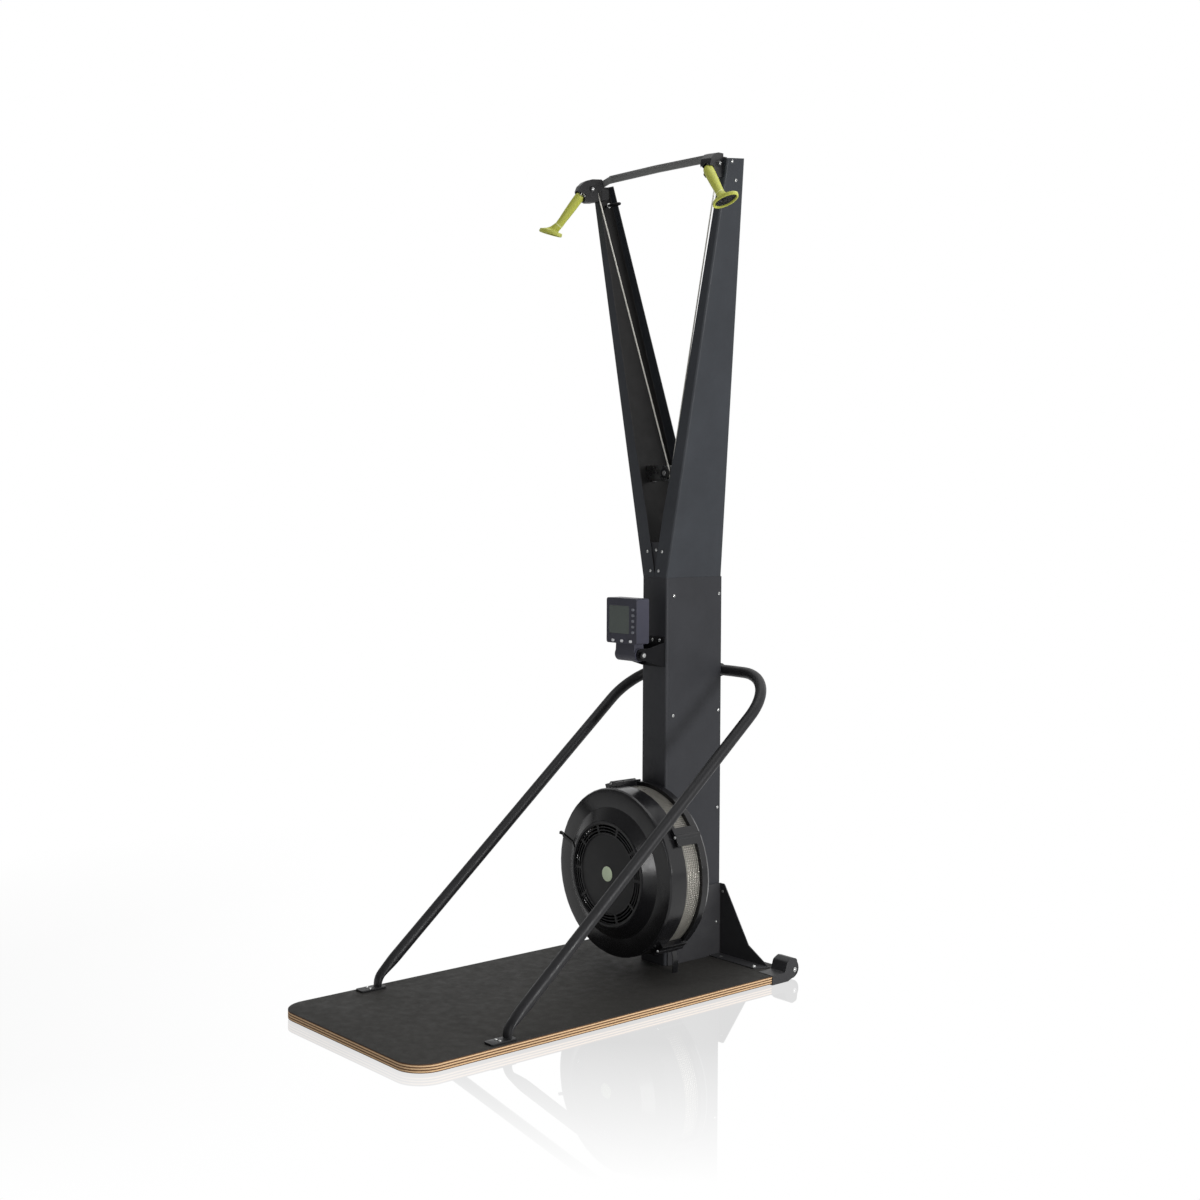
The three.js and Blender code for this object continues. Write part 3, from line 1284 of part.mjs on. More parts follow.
function buildMonitor() {
  const outline = box(-monitorHalfWidth, monitorHalfWidth, monitorBottom, monitorTop, monitorCornerRadius);
  const hump = box(-monitorHumpHalf, monitorHumpHalf, monitorBottom, monitorHumpTop, monitorCornerRadius);
  const body = prism("y", outline, monitorFrontY, monitorRearY);
  const humpBody = prism("y", hump, monitorRearY - sheet, monitorHumpY);
  const room = prism("y", inset(outline, monitorWall),
    monitorFrontY + monitorWall, monitorRearY - monitorWall);
  const inner = inset(hump, monitorWall);
  const humpRoom = prism("y", inner, monitorRearY - sheet * 2, monitorHumpY - monitorWall);
  const window = prism("y", box(screenLeftX, screenRightX, screenBottom, screenTop, screenCorner),
    monitorFrontY - sheet, monitorFrontY + screenThickness);
  const buttonHoles = buttonPlaces().map(([x, z]) => prism("y", box(
    x - buttonHalfWidth - clearance, x + buttonHalfWidth + clearance,
    z - buttonHalfHeight - clearance, z + buttonHalfHeight + clearance, buttonCorner),
  monitorFrontY - sheet, monitorFrontY + monitorWall * 2));
  const barrel = disc("x", pivotRadius, -pivotHalfWidth, pivotHalfWidth, 32).translate(0, pivotY, pivotZ);
  const neck = prism("x", [
    [pivotY - pivotRadius, pivotZ, 0], [pivotY + pivotRadius, pivotZ, 0],
    [monitorRearY, monitorBottom + sheet / 2, 0], [pivotY - pivotRadius * 0.9, monitorBottom + sheet / 2, 0],
  ], -pivotHalfWidth + sheet, pivotHalfWidth - sheet);
  const pinHole = disc("x", pivotPinRadius + clearance, -pivotHalfWidth * 2, pivotHalfWidth * 2, 20)
    .translate(0, pivotY, pivotZ);
  const shell = cut(join(body, humpBody), room, humpRoom);
  add("monitor_case", cut(join(shell, barrel, neck), window, pinHole, ...buttonHoles), shellGrey);

  const inside = clearance / 2;
  add("monitor_screen", prism("y", box(screenLeftX + inside, screenRightX - inside,
    screenBottom + inside, screenTop - inside, screenCorner),
  monitorFrontY + clearance, monitorFrontY + screenThickness),
  screenGreen);
  buttonPlaces().forEach(([x, z], at) => {
    const button = prism("y", box(x - buttonHalfWidth, x + buttonHalfWidth,
      z - buttonHalfHeight, z + buttonHalfHeight, buttonCorner), monitorFrontY - buttonProud,
    monitorFrontY - buttonProud + buttonLength);
    add(`monitor_button_${at + 1}`, button, buttonGrey);
  });

  const earInner = pivotHalfWidth + clearance;
  const front = -clearance - sheet;
  const plate = prism("y", box(-earInner - sheet, earInner + sheet, bracketPlateBottom, bracketPlateTop,
    bracketPlateCorner), front, -clearance);
  const nose = pivotY - pivotRadius * 0.7;
  const [low, high] = [pivotZ - pivotRadius * 0.9, pivotZ + pivotRadius * 0.9];
  const round = pivotRadius * 0.7;
  const ear = prism("x", [
    [front + sheet / 2, bracketPlateBottom, 0], [front + sheet / 2, high + round, bracketPlateCorner],
    [pivotY + pivotRadius + round, high, round], [nose, high, round], [nose, low, round],
    [pivotY + pivotRadius, low, round],
  ], earInner, earInner + sheet);
  const pin = disc("x", pivotPinRadius, earInner - pivotPinRadius * 2, earInner + sheet * 2.5, 20)
    .translate(0, pivotY, pivotZ);
  const knob = disc("x", pivotPinRadius * 1.6, earInner + sheet / 2, earInner + sheet * 2.5, 20)
    .translate(0, pivotY, pivotZ);
  const side = join(ear, pin, knob);
  add("monitor_bracket", join(plate, side, mirrored(side)), blackSteel);
}

buildDeck();
buildBaseBrackets();
buildColumn();
buildArms();
buildCrossbar();
buildBraces();
buildCasters();
buildHousing();
buildBand();
buildGrille();
buildDamper();
buildFan();
buildBearing();
buildDrums();
buildCords();
buildThroat();
buildPulleyHousings();
buildHandles();
buildMonitor();

export default machine;
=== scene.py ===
"""Looks of an upright ski trainer machine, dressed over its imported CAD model.

Metres, +X to the machine's right, +Y to its back, +Z up. The CAD nodes keep
their shapes and get finishes; cords, handles, fasteners and small trim are
surfaces worked out here and placed from the boxes of the nodes they sit on.
"""

from __future__ import annotations

import json
import logging
import math
from dataclasses import dataclass, field, replace
from enum import Enum

import bmesh
import bpy
import numpy as np
from mathutils import Matrix, Vector

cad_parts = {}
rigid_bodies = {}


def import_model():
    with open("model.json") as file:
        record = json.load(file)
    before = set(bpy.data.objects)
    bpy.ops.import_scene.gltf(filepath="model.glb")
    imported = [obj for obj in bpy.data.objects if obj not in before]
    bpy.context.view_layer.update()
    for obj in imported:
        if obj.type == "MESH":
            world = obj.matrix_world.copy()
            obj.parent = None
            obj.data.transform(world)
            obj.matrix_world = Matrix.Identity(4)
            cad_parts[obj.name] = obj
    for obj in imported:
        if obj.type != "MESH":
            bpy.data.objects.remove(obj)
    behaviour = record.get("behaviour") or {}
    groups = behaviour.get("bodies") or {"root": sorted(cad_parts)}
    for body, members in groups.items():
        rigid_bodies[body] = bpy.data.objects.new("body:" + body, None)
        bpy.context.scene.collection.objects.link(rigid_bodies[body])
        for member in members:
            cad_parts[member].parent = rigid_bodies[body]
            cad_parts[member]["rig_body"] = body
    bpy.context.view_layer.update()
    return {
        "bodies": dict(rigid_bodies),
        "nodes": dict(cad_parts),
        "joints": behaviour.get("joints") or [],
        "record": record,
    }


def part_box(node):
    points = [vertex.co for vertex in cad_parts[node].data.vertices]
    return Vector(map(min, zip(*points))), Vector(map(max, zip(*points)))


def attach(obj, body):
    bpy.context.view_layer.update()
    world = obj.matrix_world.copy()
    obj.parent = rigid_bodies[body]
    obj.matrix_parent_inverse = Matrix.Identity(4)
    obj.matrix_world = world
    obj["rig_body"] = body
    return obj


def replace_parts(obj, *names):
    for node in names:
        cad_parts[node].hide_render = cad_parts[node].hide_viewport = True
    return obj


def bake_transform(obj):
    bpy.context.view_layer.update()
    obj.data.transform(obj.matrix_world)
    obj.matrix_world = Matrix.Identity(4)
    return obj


log = logging.getLogger("ski_trainer")

Array = np.ndarray
Colour = tuple[float, float, float]
Point = tuple[float, float, float]

MM = 0.001
SIDES: dict[str, int] = {"right": 1, "left": -1}

# Facets that turn less than this are smoothed; the stepped nodes keep finer steps crisp.
SMOOTH_ANGLE = math.radians(27)
STEP_ANGLE = math.radians(13)
STEPPED = ("housing_front", "housing_rear")
# Facet corners nearer than this are joined.
WELD = 1e-5
# Most turn between two points of a rounded corner, and points across an eased plate edge.
ARC_STEP = math.radians(5)
EASED_POINTS = 4
# Cosines between a face and its rounded direction, from no paler edge to a full one; the paler edge is both
# wear and painted highlight.
EDGE_COSINES = (0.995, 0.75)

# Clamps round the outlet band in degrees from +X, and where their screws are looked for.
CLAMP_ANGLES = (103, 31, -54, -122, -188)
CLAMP_SCREW_RISE = 13 * MM
CLAMP_SCREW_START = -300 * MM
# The monitor's pivot, from the low corner of its bracket's box.
PIVOT_DEPTH = 12.6 * MM
PIVOT_RISE = 37 * MM
# Gap between the deck and the caster brackets in its notch.
CLEARANCE = 0.3 * MM
# How far the top pulleys are turned out, and how far from an axle's middle its heads are looked for.
PULLEY_YAW = math.radians(15)
AXLE_REACH = 60 * MM


def unit(vector: Array) -> Array:
    """Vectors along the last axis at length one."""
    return vector / np.maximum(np.linalg.norm(vector, axis=-1, keepdims=True), 1e-12)


def eased(share: Array) -> Array:
    """A share that leaves 0 and reaches 1 without a slope."""
    return share * share * (3 - 2 * share)


def lengths_along(path: Array) -> Array:
    """How far each point of a path is along it."""
    return np.concatenate([[0], np.cumsum(np.linalg.norm(np.diff(path, axis=0), axis=1))])


def angles_round(sides: int) -> Array:
    """Even angles round a whole turn."""
    return np.linspace(0, math.tau, sides, endpoint=False)


def spun(across: Array, up: Array, angle: Array) -> Array:
    """Directions at angles from one direction towards another."""
    return across[..., None, :] * np.cos(angle)[:, None] + up[..., None, :] * np.sin(angle)[:, None]


def upright_arc(turn: Array, mirror: int = 1) -> Array:
    """Unit steps in the XZ plane at angles from +X, or from -X where mirrored."""
    return np.stack([mirror * np.cos(turn), np.zeros_like(turn), np.sin(turn)], -1)


def as_point(numbers: Array) -> Point:
    """An array's numbers as a plain tuple."""
    return tuple(map(float, numbers))


def grid_faces(rows: int, columns: int, round_columns: bool = True, first: int = 0) -> Array:
    """Quads of a grid of points numbered row by row.

    Args:
        rows: Rows of points.
        columns: Points in each row.
        round_columns: Whether the last column joins the first.
        first: Number of the first point.

    Returns:
        One row of four point numbers for each quad.
    """
    row, column = np.meshgrid(
        np.arange(rows - 1), np.arange(columns if round_columns else columns - 1), indexing="ij"
    )
    here = first + row * columns
    after = (column + 1) % columns
    quads = np.stack([here + column, here + after, here + columns + after, here + columns + column], -1)
    return quads.reshape(-1, 4)


def make_piece(name: str, points: Array, faces: list[Array], uv: Array | None = None) -> bpy.types.Object:
    """A smooth-shaded piece from its points and faces, with its faces turned outwards.

    Args:
        name: Name of the piece.
        points: Points in metres, one in each row.
        faces: Arrays of faces, each with one face in a row.
        uv: Optional pattern coordinates, one pair for each point.

    Returns:
        The new object at the origin.
    """
    mesh = bpy.data.meshes.new(name)
    loops = [list(map(int, face)) for block in faces for face in block]
    mesh.from_pydata(points.tolist(), [], loops)
    mesh.validate()
    if uv is not None:
        layer = mesh.uv_layers.new(name="pattern")
        corner = np.zeros(len(mesh.loops), np.int32)
        mesh.loops.foreach_get("vertex_index", corner)
        layer.data.foreach_set("uv", uv[corner].astype(np.float32).ravel())
    mesh.shade_smooth()
    piece = bpy.data.objects.new(name, mesh)
    bpy.context.scene.collection.objects.link(piece)
    return piece


def split_edges(piece: bpy.types.Object, angle: float = SMOOTH_ANGLE) -> None:
    """Keeps the edges of a smooth-shaded piece crisp where they turn more than an angle."""
    split = piece.modifiers.new("crisp_edges", "EDGE_SPLIT")
    split.split_angle = angle


@dataclass
class Surfaces:
    """Closed surfaces gathered into one mesh."""

    points: list[Array] = field(default_factory=list)
    faces: list[Array] = field(default_factory=list)
    uvs: list[Array] = field(default_factory=list)
    count: int = 0

    def closed_rings(self, rings: Array, uv: Array | None = None) -> Surfaces:
        """Adds a skin over rings of points, closed at both ends by a pole.

        Args:
            rings: Points as (ring, around, 3).
            uv: Optional pattern coordinates as (ring, around, 2).

        Returns:
            This collection.
        """
        rows, columns = rings.shape[:2]
        poles = rings[[0, -1]].mean(1)
        first, low, high = self.count, self.count + rows * columns, self.count + rows * columns + 1
        around = np.arange(columns)
        after = (around + 1) % columns
        last = first + (rows - 1) * columns
        start = np.stack([np.full(columns, low), first + after, first + around], -1)
        end = np.stack([np.full(columns, high), last + around, last + after], -1)
        self.points += [rings.reshape(-1, 3), poles]
        self.faces += [grid_faces(rows, columns, True, first), start, end]
        if uv is not None:
            self.uvs += [uv.reshape(-1, 2), uv[[0, -1]].mean(1)]
        self.count += rows * columns + 2
        return self

    def slab(self, top: Array, bottom: Array) -> Surfaces:
        """Adds a closed slab between two grids of points that match.

        Args:
            top: Points of the outer face as (row, column, 3).
            bottom: Points of the inner face, in the same order.

        Returns:
            This collection.
        """
        rows, columns = top.shape[:2]
        size = rows * columns
        number = np.arange(size).reshape(rows, columns)
        edge = np.concatenate([number[0, :-1], number[:-1, -1], number[-1, :0:-1], number[:0:-1, 0]])
        after = np.roll(edge, -1)
        walls = np.stack([after, edge, edge + size, after + size], -1)
        faces = grid_faces(rows, columns, False)
        self.points += [top.reshape(-1, 3), bottom.reshape(-1, 3)]
        self.faces += [faces + self.count, faces[:, ::-1] + size + self.count, walls + self.count]
        self.count += 2 * size
        return self

    def piece(self, name: str, angle: float = SMOOTH_ANGLE) -> bpy.types.Object:
        """The gathered surfaces as one piece, with outward faces and crisp edges."""
        points = np.concatenate(self.points)
        uv = np.concatenate(self.uvs) if self.uvs else None
        made = make_piece(name, points, self.faces, uv)
        turn_outwards(made)
        split_edges(made, angle)
        return made


def turn_outwards(piece: bpy.types.Object) -> None:
    """Turns each closed shell of a piece so that its faces point out."""
    shells = bmesh.new()
    shells.from_mesh(piece.data)
    bmesh.ops.recalc_face_normals(shells, faces=shells.faces)
    shells.to_mesh(piece.data)
    shells.free()


def carried_frames(path: Array) -> tuple[Array, Array]:
    """Two crossways directions along a path, carried on without twist.

    Each station's first direction is the one before it, less its part along the path there.

    Args:
        path: Points of the centreline.

    Returns:
        The two directions at each point.
    """
    along = unit(np.gradient(path, axis=0))
    across = np.zeros_like(path)
    spare = np.eye(3)[np.argmin(np.abs(along[0]))]
    across[0] = unit(spare - along[0] * (spare @ along[0]))
    for step in range(1, len(path)):
        kept = across[step - 1] - along[step] * (across[step - 1] @ along[step])
        across[step] = unit(kept)
    return across, np.cross(along, across)


def resampled(path: Array, pitch: float) -> Array:
    """A path's points laid again at an even pitch, kept on its line."""
    steps = lengths_along(path)
    count = max(2, round(steps[-1] / pitch))
    at = np.linspace(0, steps[-1], count + 1)
    return np.stack([np.interp(at, steps, path[:, axis]) for axis in range(3)], -1)


def curved(table: Array, count: int) -> Array:
    """A smooth run through the rows of a table, by cubic pieces with averaged slopes.

    Args:
        table: Rows whose first column rises.
        count: Rows wanted.

    Returns:
        Rows at even steps of the first column.
    """
    at, values = table[:, 0], table[:, 1:]
    slope = np.gradient(values, at, axis=0)
    want = np.linspace(at[0], at[-1], count)
    spot = np.clip(np.searchsorted(at, want, "right") - 1, 0, len(at) - 2)
    span = (at[spot + 1] - at[spot])[:, None]
    share = (want - at[spot])[:, None] / span
    low, high = values[spot], values[spot + 1]
    rise = eased(share)
    leave = share * (1 - share) ** 2 * slope[spot] * span
    arrive = share * share * (1 - share) * slope[spot + 1] * span
    return low + (high - low) * rise + leave - arrive


def filleted(corners: Array, closed: bool = False) -> Array:
    """Points of a route whose corners are rounded by arcs.

    An arc leaves the route where its radius times the tangent of half the bend reaches from the
    corner, and turns about a centre that lies on the corner's bisector.

    Args:
        corners: Rows of x, y, z and the corner's radius.
        closed: Whether the last corner joins the first.

    Returns:
        Points of the route.
    """
    places, radii = corners[:, :3], corners[:, 3]
    route = []
    for index, (here, radius) in enumerate(zip(places, radii)):
        if radius == 0 or (not closed and index in (0, len(places) - 1)):
            route.append(here[None])
            continue
        back = unit(places[index - 1] - here)
        ahead = unit(places[(index + 1) % len(places)] - here)
        bend = math.pi - math.acos(back @ ahead)
        centre = here + unit(back + ahead) * radius / math.cos(bend / 2)
        start = here + back * radius * math.tan(bend / 2) - centre
        turn = np.linspace(0, bend, max(3, math.ceil(bend / ARC_STEP)))[:, None]
        route.append(centre + start * np.cos(turn) - back * radius * np.sin(turn))
    return np.concatenate(route)


def plate_rings(outline: Array, low: float, high: float, edge: float) -> Array:
    """Rings of a flat plate with eased edges, ready to be closed.

    Args:
        outline: Points round the plate, anticlockwise from above.
        low: Height of its underside.
        high: Height of its top.
        edge: Radius of its edges.

    Returns:
        Rings of points from the underside to the top.
    """
    along = unit(np.roll(outline, -1, 0) - np.roll(outline, 1, 0))
    inward = np.cross([0, 0, 1.0], along)
    turn = np.linspace(0, math.pi / 2, EASED_POINTS)
    inset = edge * np.concatenate([1 - np.sin(turn), 1 - np.cos(turn)])
    height = np.concatenate([low + edge * (1 - np.cos(turn)), high - edge * (1 - np.sin(turn))])
    rings = outline[None] + inward[None] * inset[:, None, None]
    rings[..., 2] = height[:, None]
    return rings


def turned_about(axis: Array) -> tuple[Array, Array]:
    """Two directions square to an axis and to each other."""
    axis = unit(np.array(axis, float))
    spare = np.eye(3)[np.argmin(np.abs(axis))]
    across = unit(np.cross(axis, spare))
    return across, np.cross(axis, across)


def linear(red: int, green: int, blue: int) -> Colour:
    """Linear light of a colour read from a picture."""
    share = np.array([red, green, blue]) / 255
    light = np.where(share <= 0.04045, share / 12.92, ((share + 0.055) / 1.055) ** 2.4)
    return as_point(light)


class Recipe:
    """Node tree of one material, with short calls for the nodes that finishes share."""

    def __init__(self, name: str) -> None:
        """Starts an empty material with a shader and object coordinates."""
        self.material = bpy.data.materials.new(name)
        self.material.use_nodes = True
        self.tree = self.material.node_tree
        self.tree.nodes.clear()
        self.output = self.add("ShaderNodeOutputMaterial")
        self.shader = self.add("ShaderNodeBsdfPrincipled")
        self.link(self.shader.outputs[0], self.output.inputs["Surface"])
        self.place = self.add("ShaderNodeTexCoord").outputs["Object"]

    def add(self, kind: str, **settings: object) -> bpy.types.Node:
        """A new node with its settings."""
        node = self.tree.nodes.new(kind)
        for key, value in settings.items():
            setattr(node, key, value)
        return node

    def link(self, source: bpy.types.NodeSocket, target: bpy.types.NodeSocket) -> None:
        """Joins an output to an input."""
        self.tree.links.new(source, target)

    def feed(self, target: bpy.types.NodeSocket, value: object) -> None:
        """Sets an input from a number, a colour or another socket."""
        if isinstance(value, bpy.types.NodeSocket):
            self.link(value, target)
        elif isinstance(value, tuple) and len(value) == 3 and target.type == "RGBA":
            target.default_value = (*value, 1.0)
        else:
            target.default_value = value

    def constants(self, **values: object) -> None:
        """Sets the shader's own sockets; a name's low lines stand for its blanks."""
        for name, value in values.items():
            self.feed(self.shader.inputs[name.replace("_", " ")], value)

    def stretched(self, scale: Point) -> bpy.types.NodeSocket:
        """Object coordinates stretched along their axes."""
        node = self.add("ShaderNodeMapping")
        self.link(self.place, node.inputs["Vector"])
        node.inputs["Scale"].default_value = scale
        return node.outputs[0]

    def noise(self, scale: float, detail: float = 2, rough: float = 0.5, vector: object = None) -> object:
        """Soft noise with a number of turns to the metre."""
        node = self.add("ShaderNodeTexNoise")
        self.link(vector or self.place, node.inputs["Vector"])
        node.inputs["Scale"].default_value = scale
        node.inputs["Detail"].default_value = detail
        node.inputs["Roughness"].default_value = rough
        return node.outputs[0]

    def cells(self, scale: float) -> object:
        """Distance to the middle of scattered cells."""
        node = self.add("ShaderNodeTexVoronoi")
        self.link(self.place, node.inputs["Vector"])
        node.inputs["Scale"].default_value = scale
        return node.outputs["Distance"]

    def between(self, value: object, low: float, high: float, to_low: float = 0,
                to_high: float = 1) -> object:
        """A value's range carried over to another, with its ends held."""
        node = self.add("ShaderNodeMapRange")
        for socket, number in zip(node.inputs, (value, low, high, to_low, to_high)):
            self.feed(socket, number)
        return node.outputs[0]

    def sums(self, operation: str, first: object, second: object = 0.0) -> object:
        """One step of arithmetic."""
        node = self.add("ShaderNodeMath", operation=operation)
        self.feed(node.inputs[0], first)
        self.feed(node.inputs[1], second)
        return node.outputs[0]

    def blend(self, share: object, first: object, second: object, way: str = "MIX") -> object:
        """Two colours mixed by a share."""
        node = self.add("ShaderNodeMix", data_type="RGBA", blend_type=way)
        self.feed(node.inputs[0], share)
        self.feed(node.inputs[6], first)
        self.feed(node.inputs[7], second)
        return node.outputs[2]

    def axis(self, letter: str, source: object = None) -> object:
        """One coordinate of a place."""
        node = self.add("ShaderNodeSeparateXYZ")
        self.link(source or self.place, node.inputs[0])
        return node.outputs["XYZ".index(letter)]

    def distance(self, centre: Point) -> object:
        """How far the surface is from a point."""
        node = self.add("ShaderNodeVectorMath", operation="DISTANCE")
        self.link(self.place, node.inputs[0])
        node.inputs[1].default_value = centre
        return node.outputs["Value"]

    def facing(self, letter: str) -> object:
        """One part of the way the surface faces."""
        return self.axis(letter, self.add("ShaderNodeNewGeometry").outputs["Normal"])

    def rounded(self, radius: float) -> object:
        """The surface's direction as if its edges were rounded to a radius."""
        node = self.add("ShaderNodeBevel", samples=4)
        node.inputs["Radius"].default_value = radius
        return node.outputs[0]

    def edges(self, rounded: object) -> object:
        """How far a rounded direction has left the surface's own: 1 on an edge, 0 away from it."""
        node = self.add("ShaderNodeVectorMath", operation="DOT_PRODUCT")
        self.link(rounded, node.inputs[0])
        self.link(self.add("ShaderNodeNewGeometry").outputs["Normal"], node.inputs[1])
        return self.between(node.outputs["Value"], *EDGE_COSINES)

    def bump(self, height: object, depth: float, strength: float = 1.0, under: object = None) -> object:
        """A direction pushed about by a height."""
        node = self.add("ShaderNodeBump")
        node.inputs["Strength"].default_value = strength
        node.inputs["Distance"].default_value = depth
        self.link(height, node.inputs["Height"])
        if under is not None:
            self.link(under, node.inputs["Normal"])
        return node.outputs[0]

    def normal(self, direction: object) -> None:
        """Gives the shader its surface direction."""
        self.link(direction, self.shader.inputs["Normal"])


@dataclass(frozen=True)
class Finish:
    """A finish with a grained surface, drifting tone and paler edges that are both wear and painted
    highlight.
    """

    name: str
    colour: Colour
    edge_colour: Colour
    roughness: float = 0.5
    roughness_drift: float = 0.1
    metallic: float = 0.0
    shine: float = 0.3
    coat: float = 0.0
    tone_drift: float = 0.12
    tone_scale: float = 9.0
    grain_scale: float = 1400.0
    grain_depth: float = 0.00012
    grain_strength: float = 0.5
    edge_radius: float = 0.0012
    edge_share: float = 0.35
    wear_and_highlight_scale: float = 60.0
    scuff_scale: float = 35.0
    coat_roughness: float = 0.12

    def tinted(self, recipe: Recipe) -> object:
        """The surface colour before its edges are worn."""
        tone = recipe.between(recipe.noise(self.tone_scale, 5, 0.6), 0.3, 0.7)
        low = tuple(value * (1 - self.tone_drift) for value in self.colour)
        high = tuple(value * (1 + self.tone_drift) for value in self.colour)
        return recipe.blend(tone, low, high)

    def height(self, recipe: Recipe) -> object:
        """The grain's height."""
        return recipe.noise(self.grain_scale, 3, 0.6)

    def build(self) -> bpy.types.Material:
        """The finish as a material."""
        recipe = Recipe(self.name)
        recipe.constants(
            Metallic=self.metallic, Specular_IOR_Level=self.shine, Coat_Weight=self.coat,
            Coat_Roughness=self.coat_roughness,
        )
        rounded = recipe.rounded(self.edge_radius)
        # Paler edges, partly wear and partly painted highlight on rims and corners.
        wear_and_highlight = recipe.sums("MULTIPLY", recipe.edges(rounded), self.edge_share)
        patches = recipe.between(recipe.noise(self.wear_and_highlight_scale, 4, 0.7), 0.35, 0.65)
        patchy_wear_and_highlight = recipe.sums("MULTIPLY", wear_and_highlight, patches)
        recipe.feed(recipe.shader.inputs["Base Color"],
                    recipe.blend(patchy_wear_and_highlight, self.tinted(recipe), self.edge_colour))
        scuffs = recipe.between(recipe.noise(self.scuff_scale, 6, 0.65), 0.35, 0.65,
                                self.roughness - self.roughness_drift, self.roughness + self.roughness_drift)
        recipe.feed(recipe.shader.inputs["Roughness"], scuffs)
        recipe.normal(recipe.bump(self.height(recipe), self.grain_depth, self.grain_strength, rounded))
        return recipe.material


@dataclass(frozen=True)
class ArmPaintShadedInside(Finish):
    """Arm paint with painted shade on the faces turned to the machine's middle, where the other arm keeps the
    light off them.
    """

    # Colour of the painted shade on the faces that look to the machine's middle.
    inner_shade: Colour = linear(30, 29, 29)

    def tinted(self, recipe: Recipe) -> object:
        """The paint, or the painted shade where a face looks to the machine's middle."""
        side = recipe.sums("SIGN", recipe.axis("X"))
        inwards = recipe.between(recipe.sums("MULTIPLY", side, recipe.facing("X")), -0.3, -0.7)
        return recipe.blend(inwards, super().tinted(recipe), self.inner_shade)


@dataclass(frozen=True)
class DeckBoard(Finish):
    """Plywood board: a dark pebbled skin on top, plies of two tones along its edge."""

    top: float = 0.025
    skin: float = 0.0012
    ply: float = 0.0031
    pale_ply: Colour = linear(217, 183, 143)
    dark_ply: Colour = linear(102, 74, 52)
    speckle_scale: float = 420.0
    wander_scale: float = 4.0
    wander: float = 0.5
    ply_softness: float = 0.35
    wood_grain: Point = (9, 9, 420)

    def tinted(self, recipe: Recipe) -> object:
        """Skin colour above the skin's depth, plies below it."""
        skin = super().tinted(recipe)
        speckle = recipe.between(recipe.noise(self.speckle_scale, 4, 0.7), 0.3, 0.75, 0.88, 1.1)
        skin = recipe.blend(1.0, skin, self.grey(recipe, speckle), "MULTIPLY")
        height = recipe.axis("Z")
        turn = recipe.sums("MULTIPLY", height, math.pi / self.ply)
        wander = recipe.sums("MULTIPLY", recipe.noise(self.wander_scale, 2, 0.5), self.wander)
        wave = recipe.sums("SINE", recipe.sums("ADD", turn, wander))
        layer = recipe.between(wave, -self.ply_softness, self.ply_softness)
        grain = recipe.noise(1, 6, 0.65, recipe.stretched(self.wood_grain))
        plies = recipe.blend(layer, self.dark_ply, self.pale_ply)
        shade = self.grey(recipe, recipe.between(grain, 0.3, 0.7, 0.9, 1.06))
        plies = recipe.blend(1.0, plies, shade, "MULTIPLY")
        on_skin = recipe.sums("GREATER_THAN", height, self.top - self.skin)
        return recipe.blend(on_skin, plies, skin)

    @staticmethod
    def grey(recipe: Recipe, value: object) -> object:
        """A value as a grey."""
        node = recipe.add("ShaderNodeCombineColor")
        for socket in node.inputs[:3]:
            recipe.feed(socket, value)
        return node.outputs[0]

    def height(self, recipe: Recipe) -> object:
        """Pebbles of the anti-slip skin."""
        return recipe.cells(self.grain_scale)


@dataclass(frozen=True)
class Braid(Finish):
    """Braided cord: two sets of strands that cross round the cord, on its own coordinates."""

    strands: int = 8
    lay: float = 0.009

    def height(self, recipe: Recipe) -> object:
        """The higher of two slanting rows of strands."""
        pattern = recipe.add("ShaderNodeUVMap", uv_map="pattern").outputs[0]
        around = recipe.sums("MULTIPLY", recipe.axis("X", pattern), self.strands * math.tau / 2)
        along = recipe.sums("MULTIPLY", recipe.axis("Y", pattern), math.tau / self.lay)
        right = recipe.sums("SINE", recipe.sums("ADD", around, along))
        left = recipe.sums("SINE", recipe.sums("SUBTRACT", around, along))
        return recipe.sums("MAXIMUM", right, left)


@dataclass(frozen=True)
class GripPlastic(Finish):
    """Moulded grip, paler where it turns sharply outwards."""

    sharp_from: float = 0.53
    sharp_to: float = 0.6
    sharp_share: float = 0.8

    def tinted(self, recipe: Recipe) -> object:
        """The plastic's tone, paler on its tight round edges."""
        turn = recipe.add("ShaderNodeNewGeometry").outputs["Pointiness"]
        sharp = recipe.between(turn, self.sharp_from, self.sharp_to, 0.0, self.sharp_share)
        return recipe.blend(sharp, super().tinted(recipe), self.edge_colour)


@dataclass(frozen=True)
class ScreenGlass(Finish):
    """Display glass: a dull grey-green panel with a fine square of cells."""

    pitch: float = 0.0011
    line_share: float = 0.25

    def tinted(self, recipe: Recipe) -> object:
        """The panel's colour with the faint lines between its cells."""
        base = super().tinted(recipe)
        lines = []
        for letter in "XZ":
            turn = recipe.sums("MULTIPLY", recipe.axis(letter), math.tau / self.pitch)
            lines.append(recipe.between(recipe.sums("COSINE", turn), 0.8, 1.0, 0.0, self.line_share))
        share = recipe.sums("MAXIMUM", *lines)
        return recipe.blend(share, base, self.edge_colour)


@dataclass(frozen=True)
class BrushedSheet(Finish):
    """Sheet metal with fine lines along the sheet's width, and painted shade where it faces up."""

    # Colour and share of the painted shade on faces that look up.
    top_shade: Colour = linear(72, 71, 68)
    top_shade_share: float = 0.7
    lines: Point = (900, 30, 900)

    def tinted(self, recipe: Recipe) -> object:
        """The sheet's tone, darkened by painted shade where it faces up."""
        upward = recipe.between(recipe.facing("Z"), 0.35, 0.95, 0.0, self.top_shade_share)
        return recipe.blend(upward, super().tinted(recipe), self.top_shade)

    def height(self, recipe: Recipe) -> object:
        """Fine lines drawn out along Y."""
        return recipe.noise(1, 4, 0.6, recipe.stretched(self.lines))


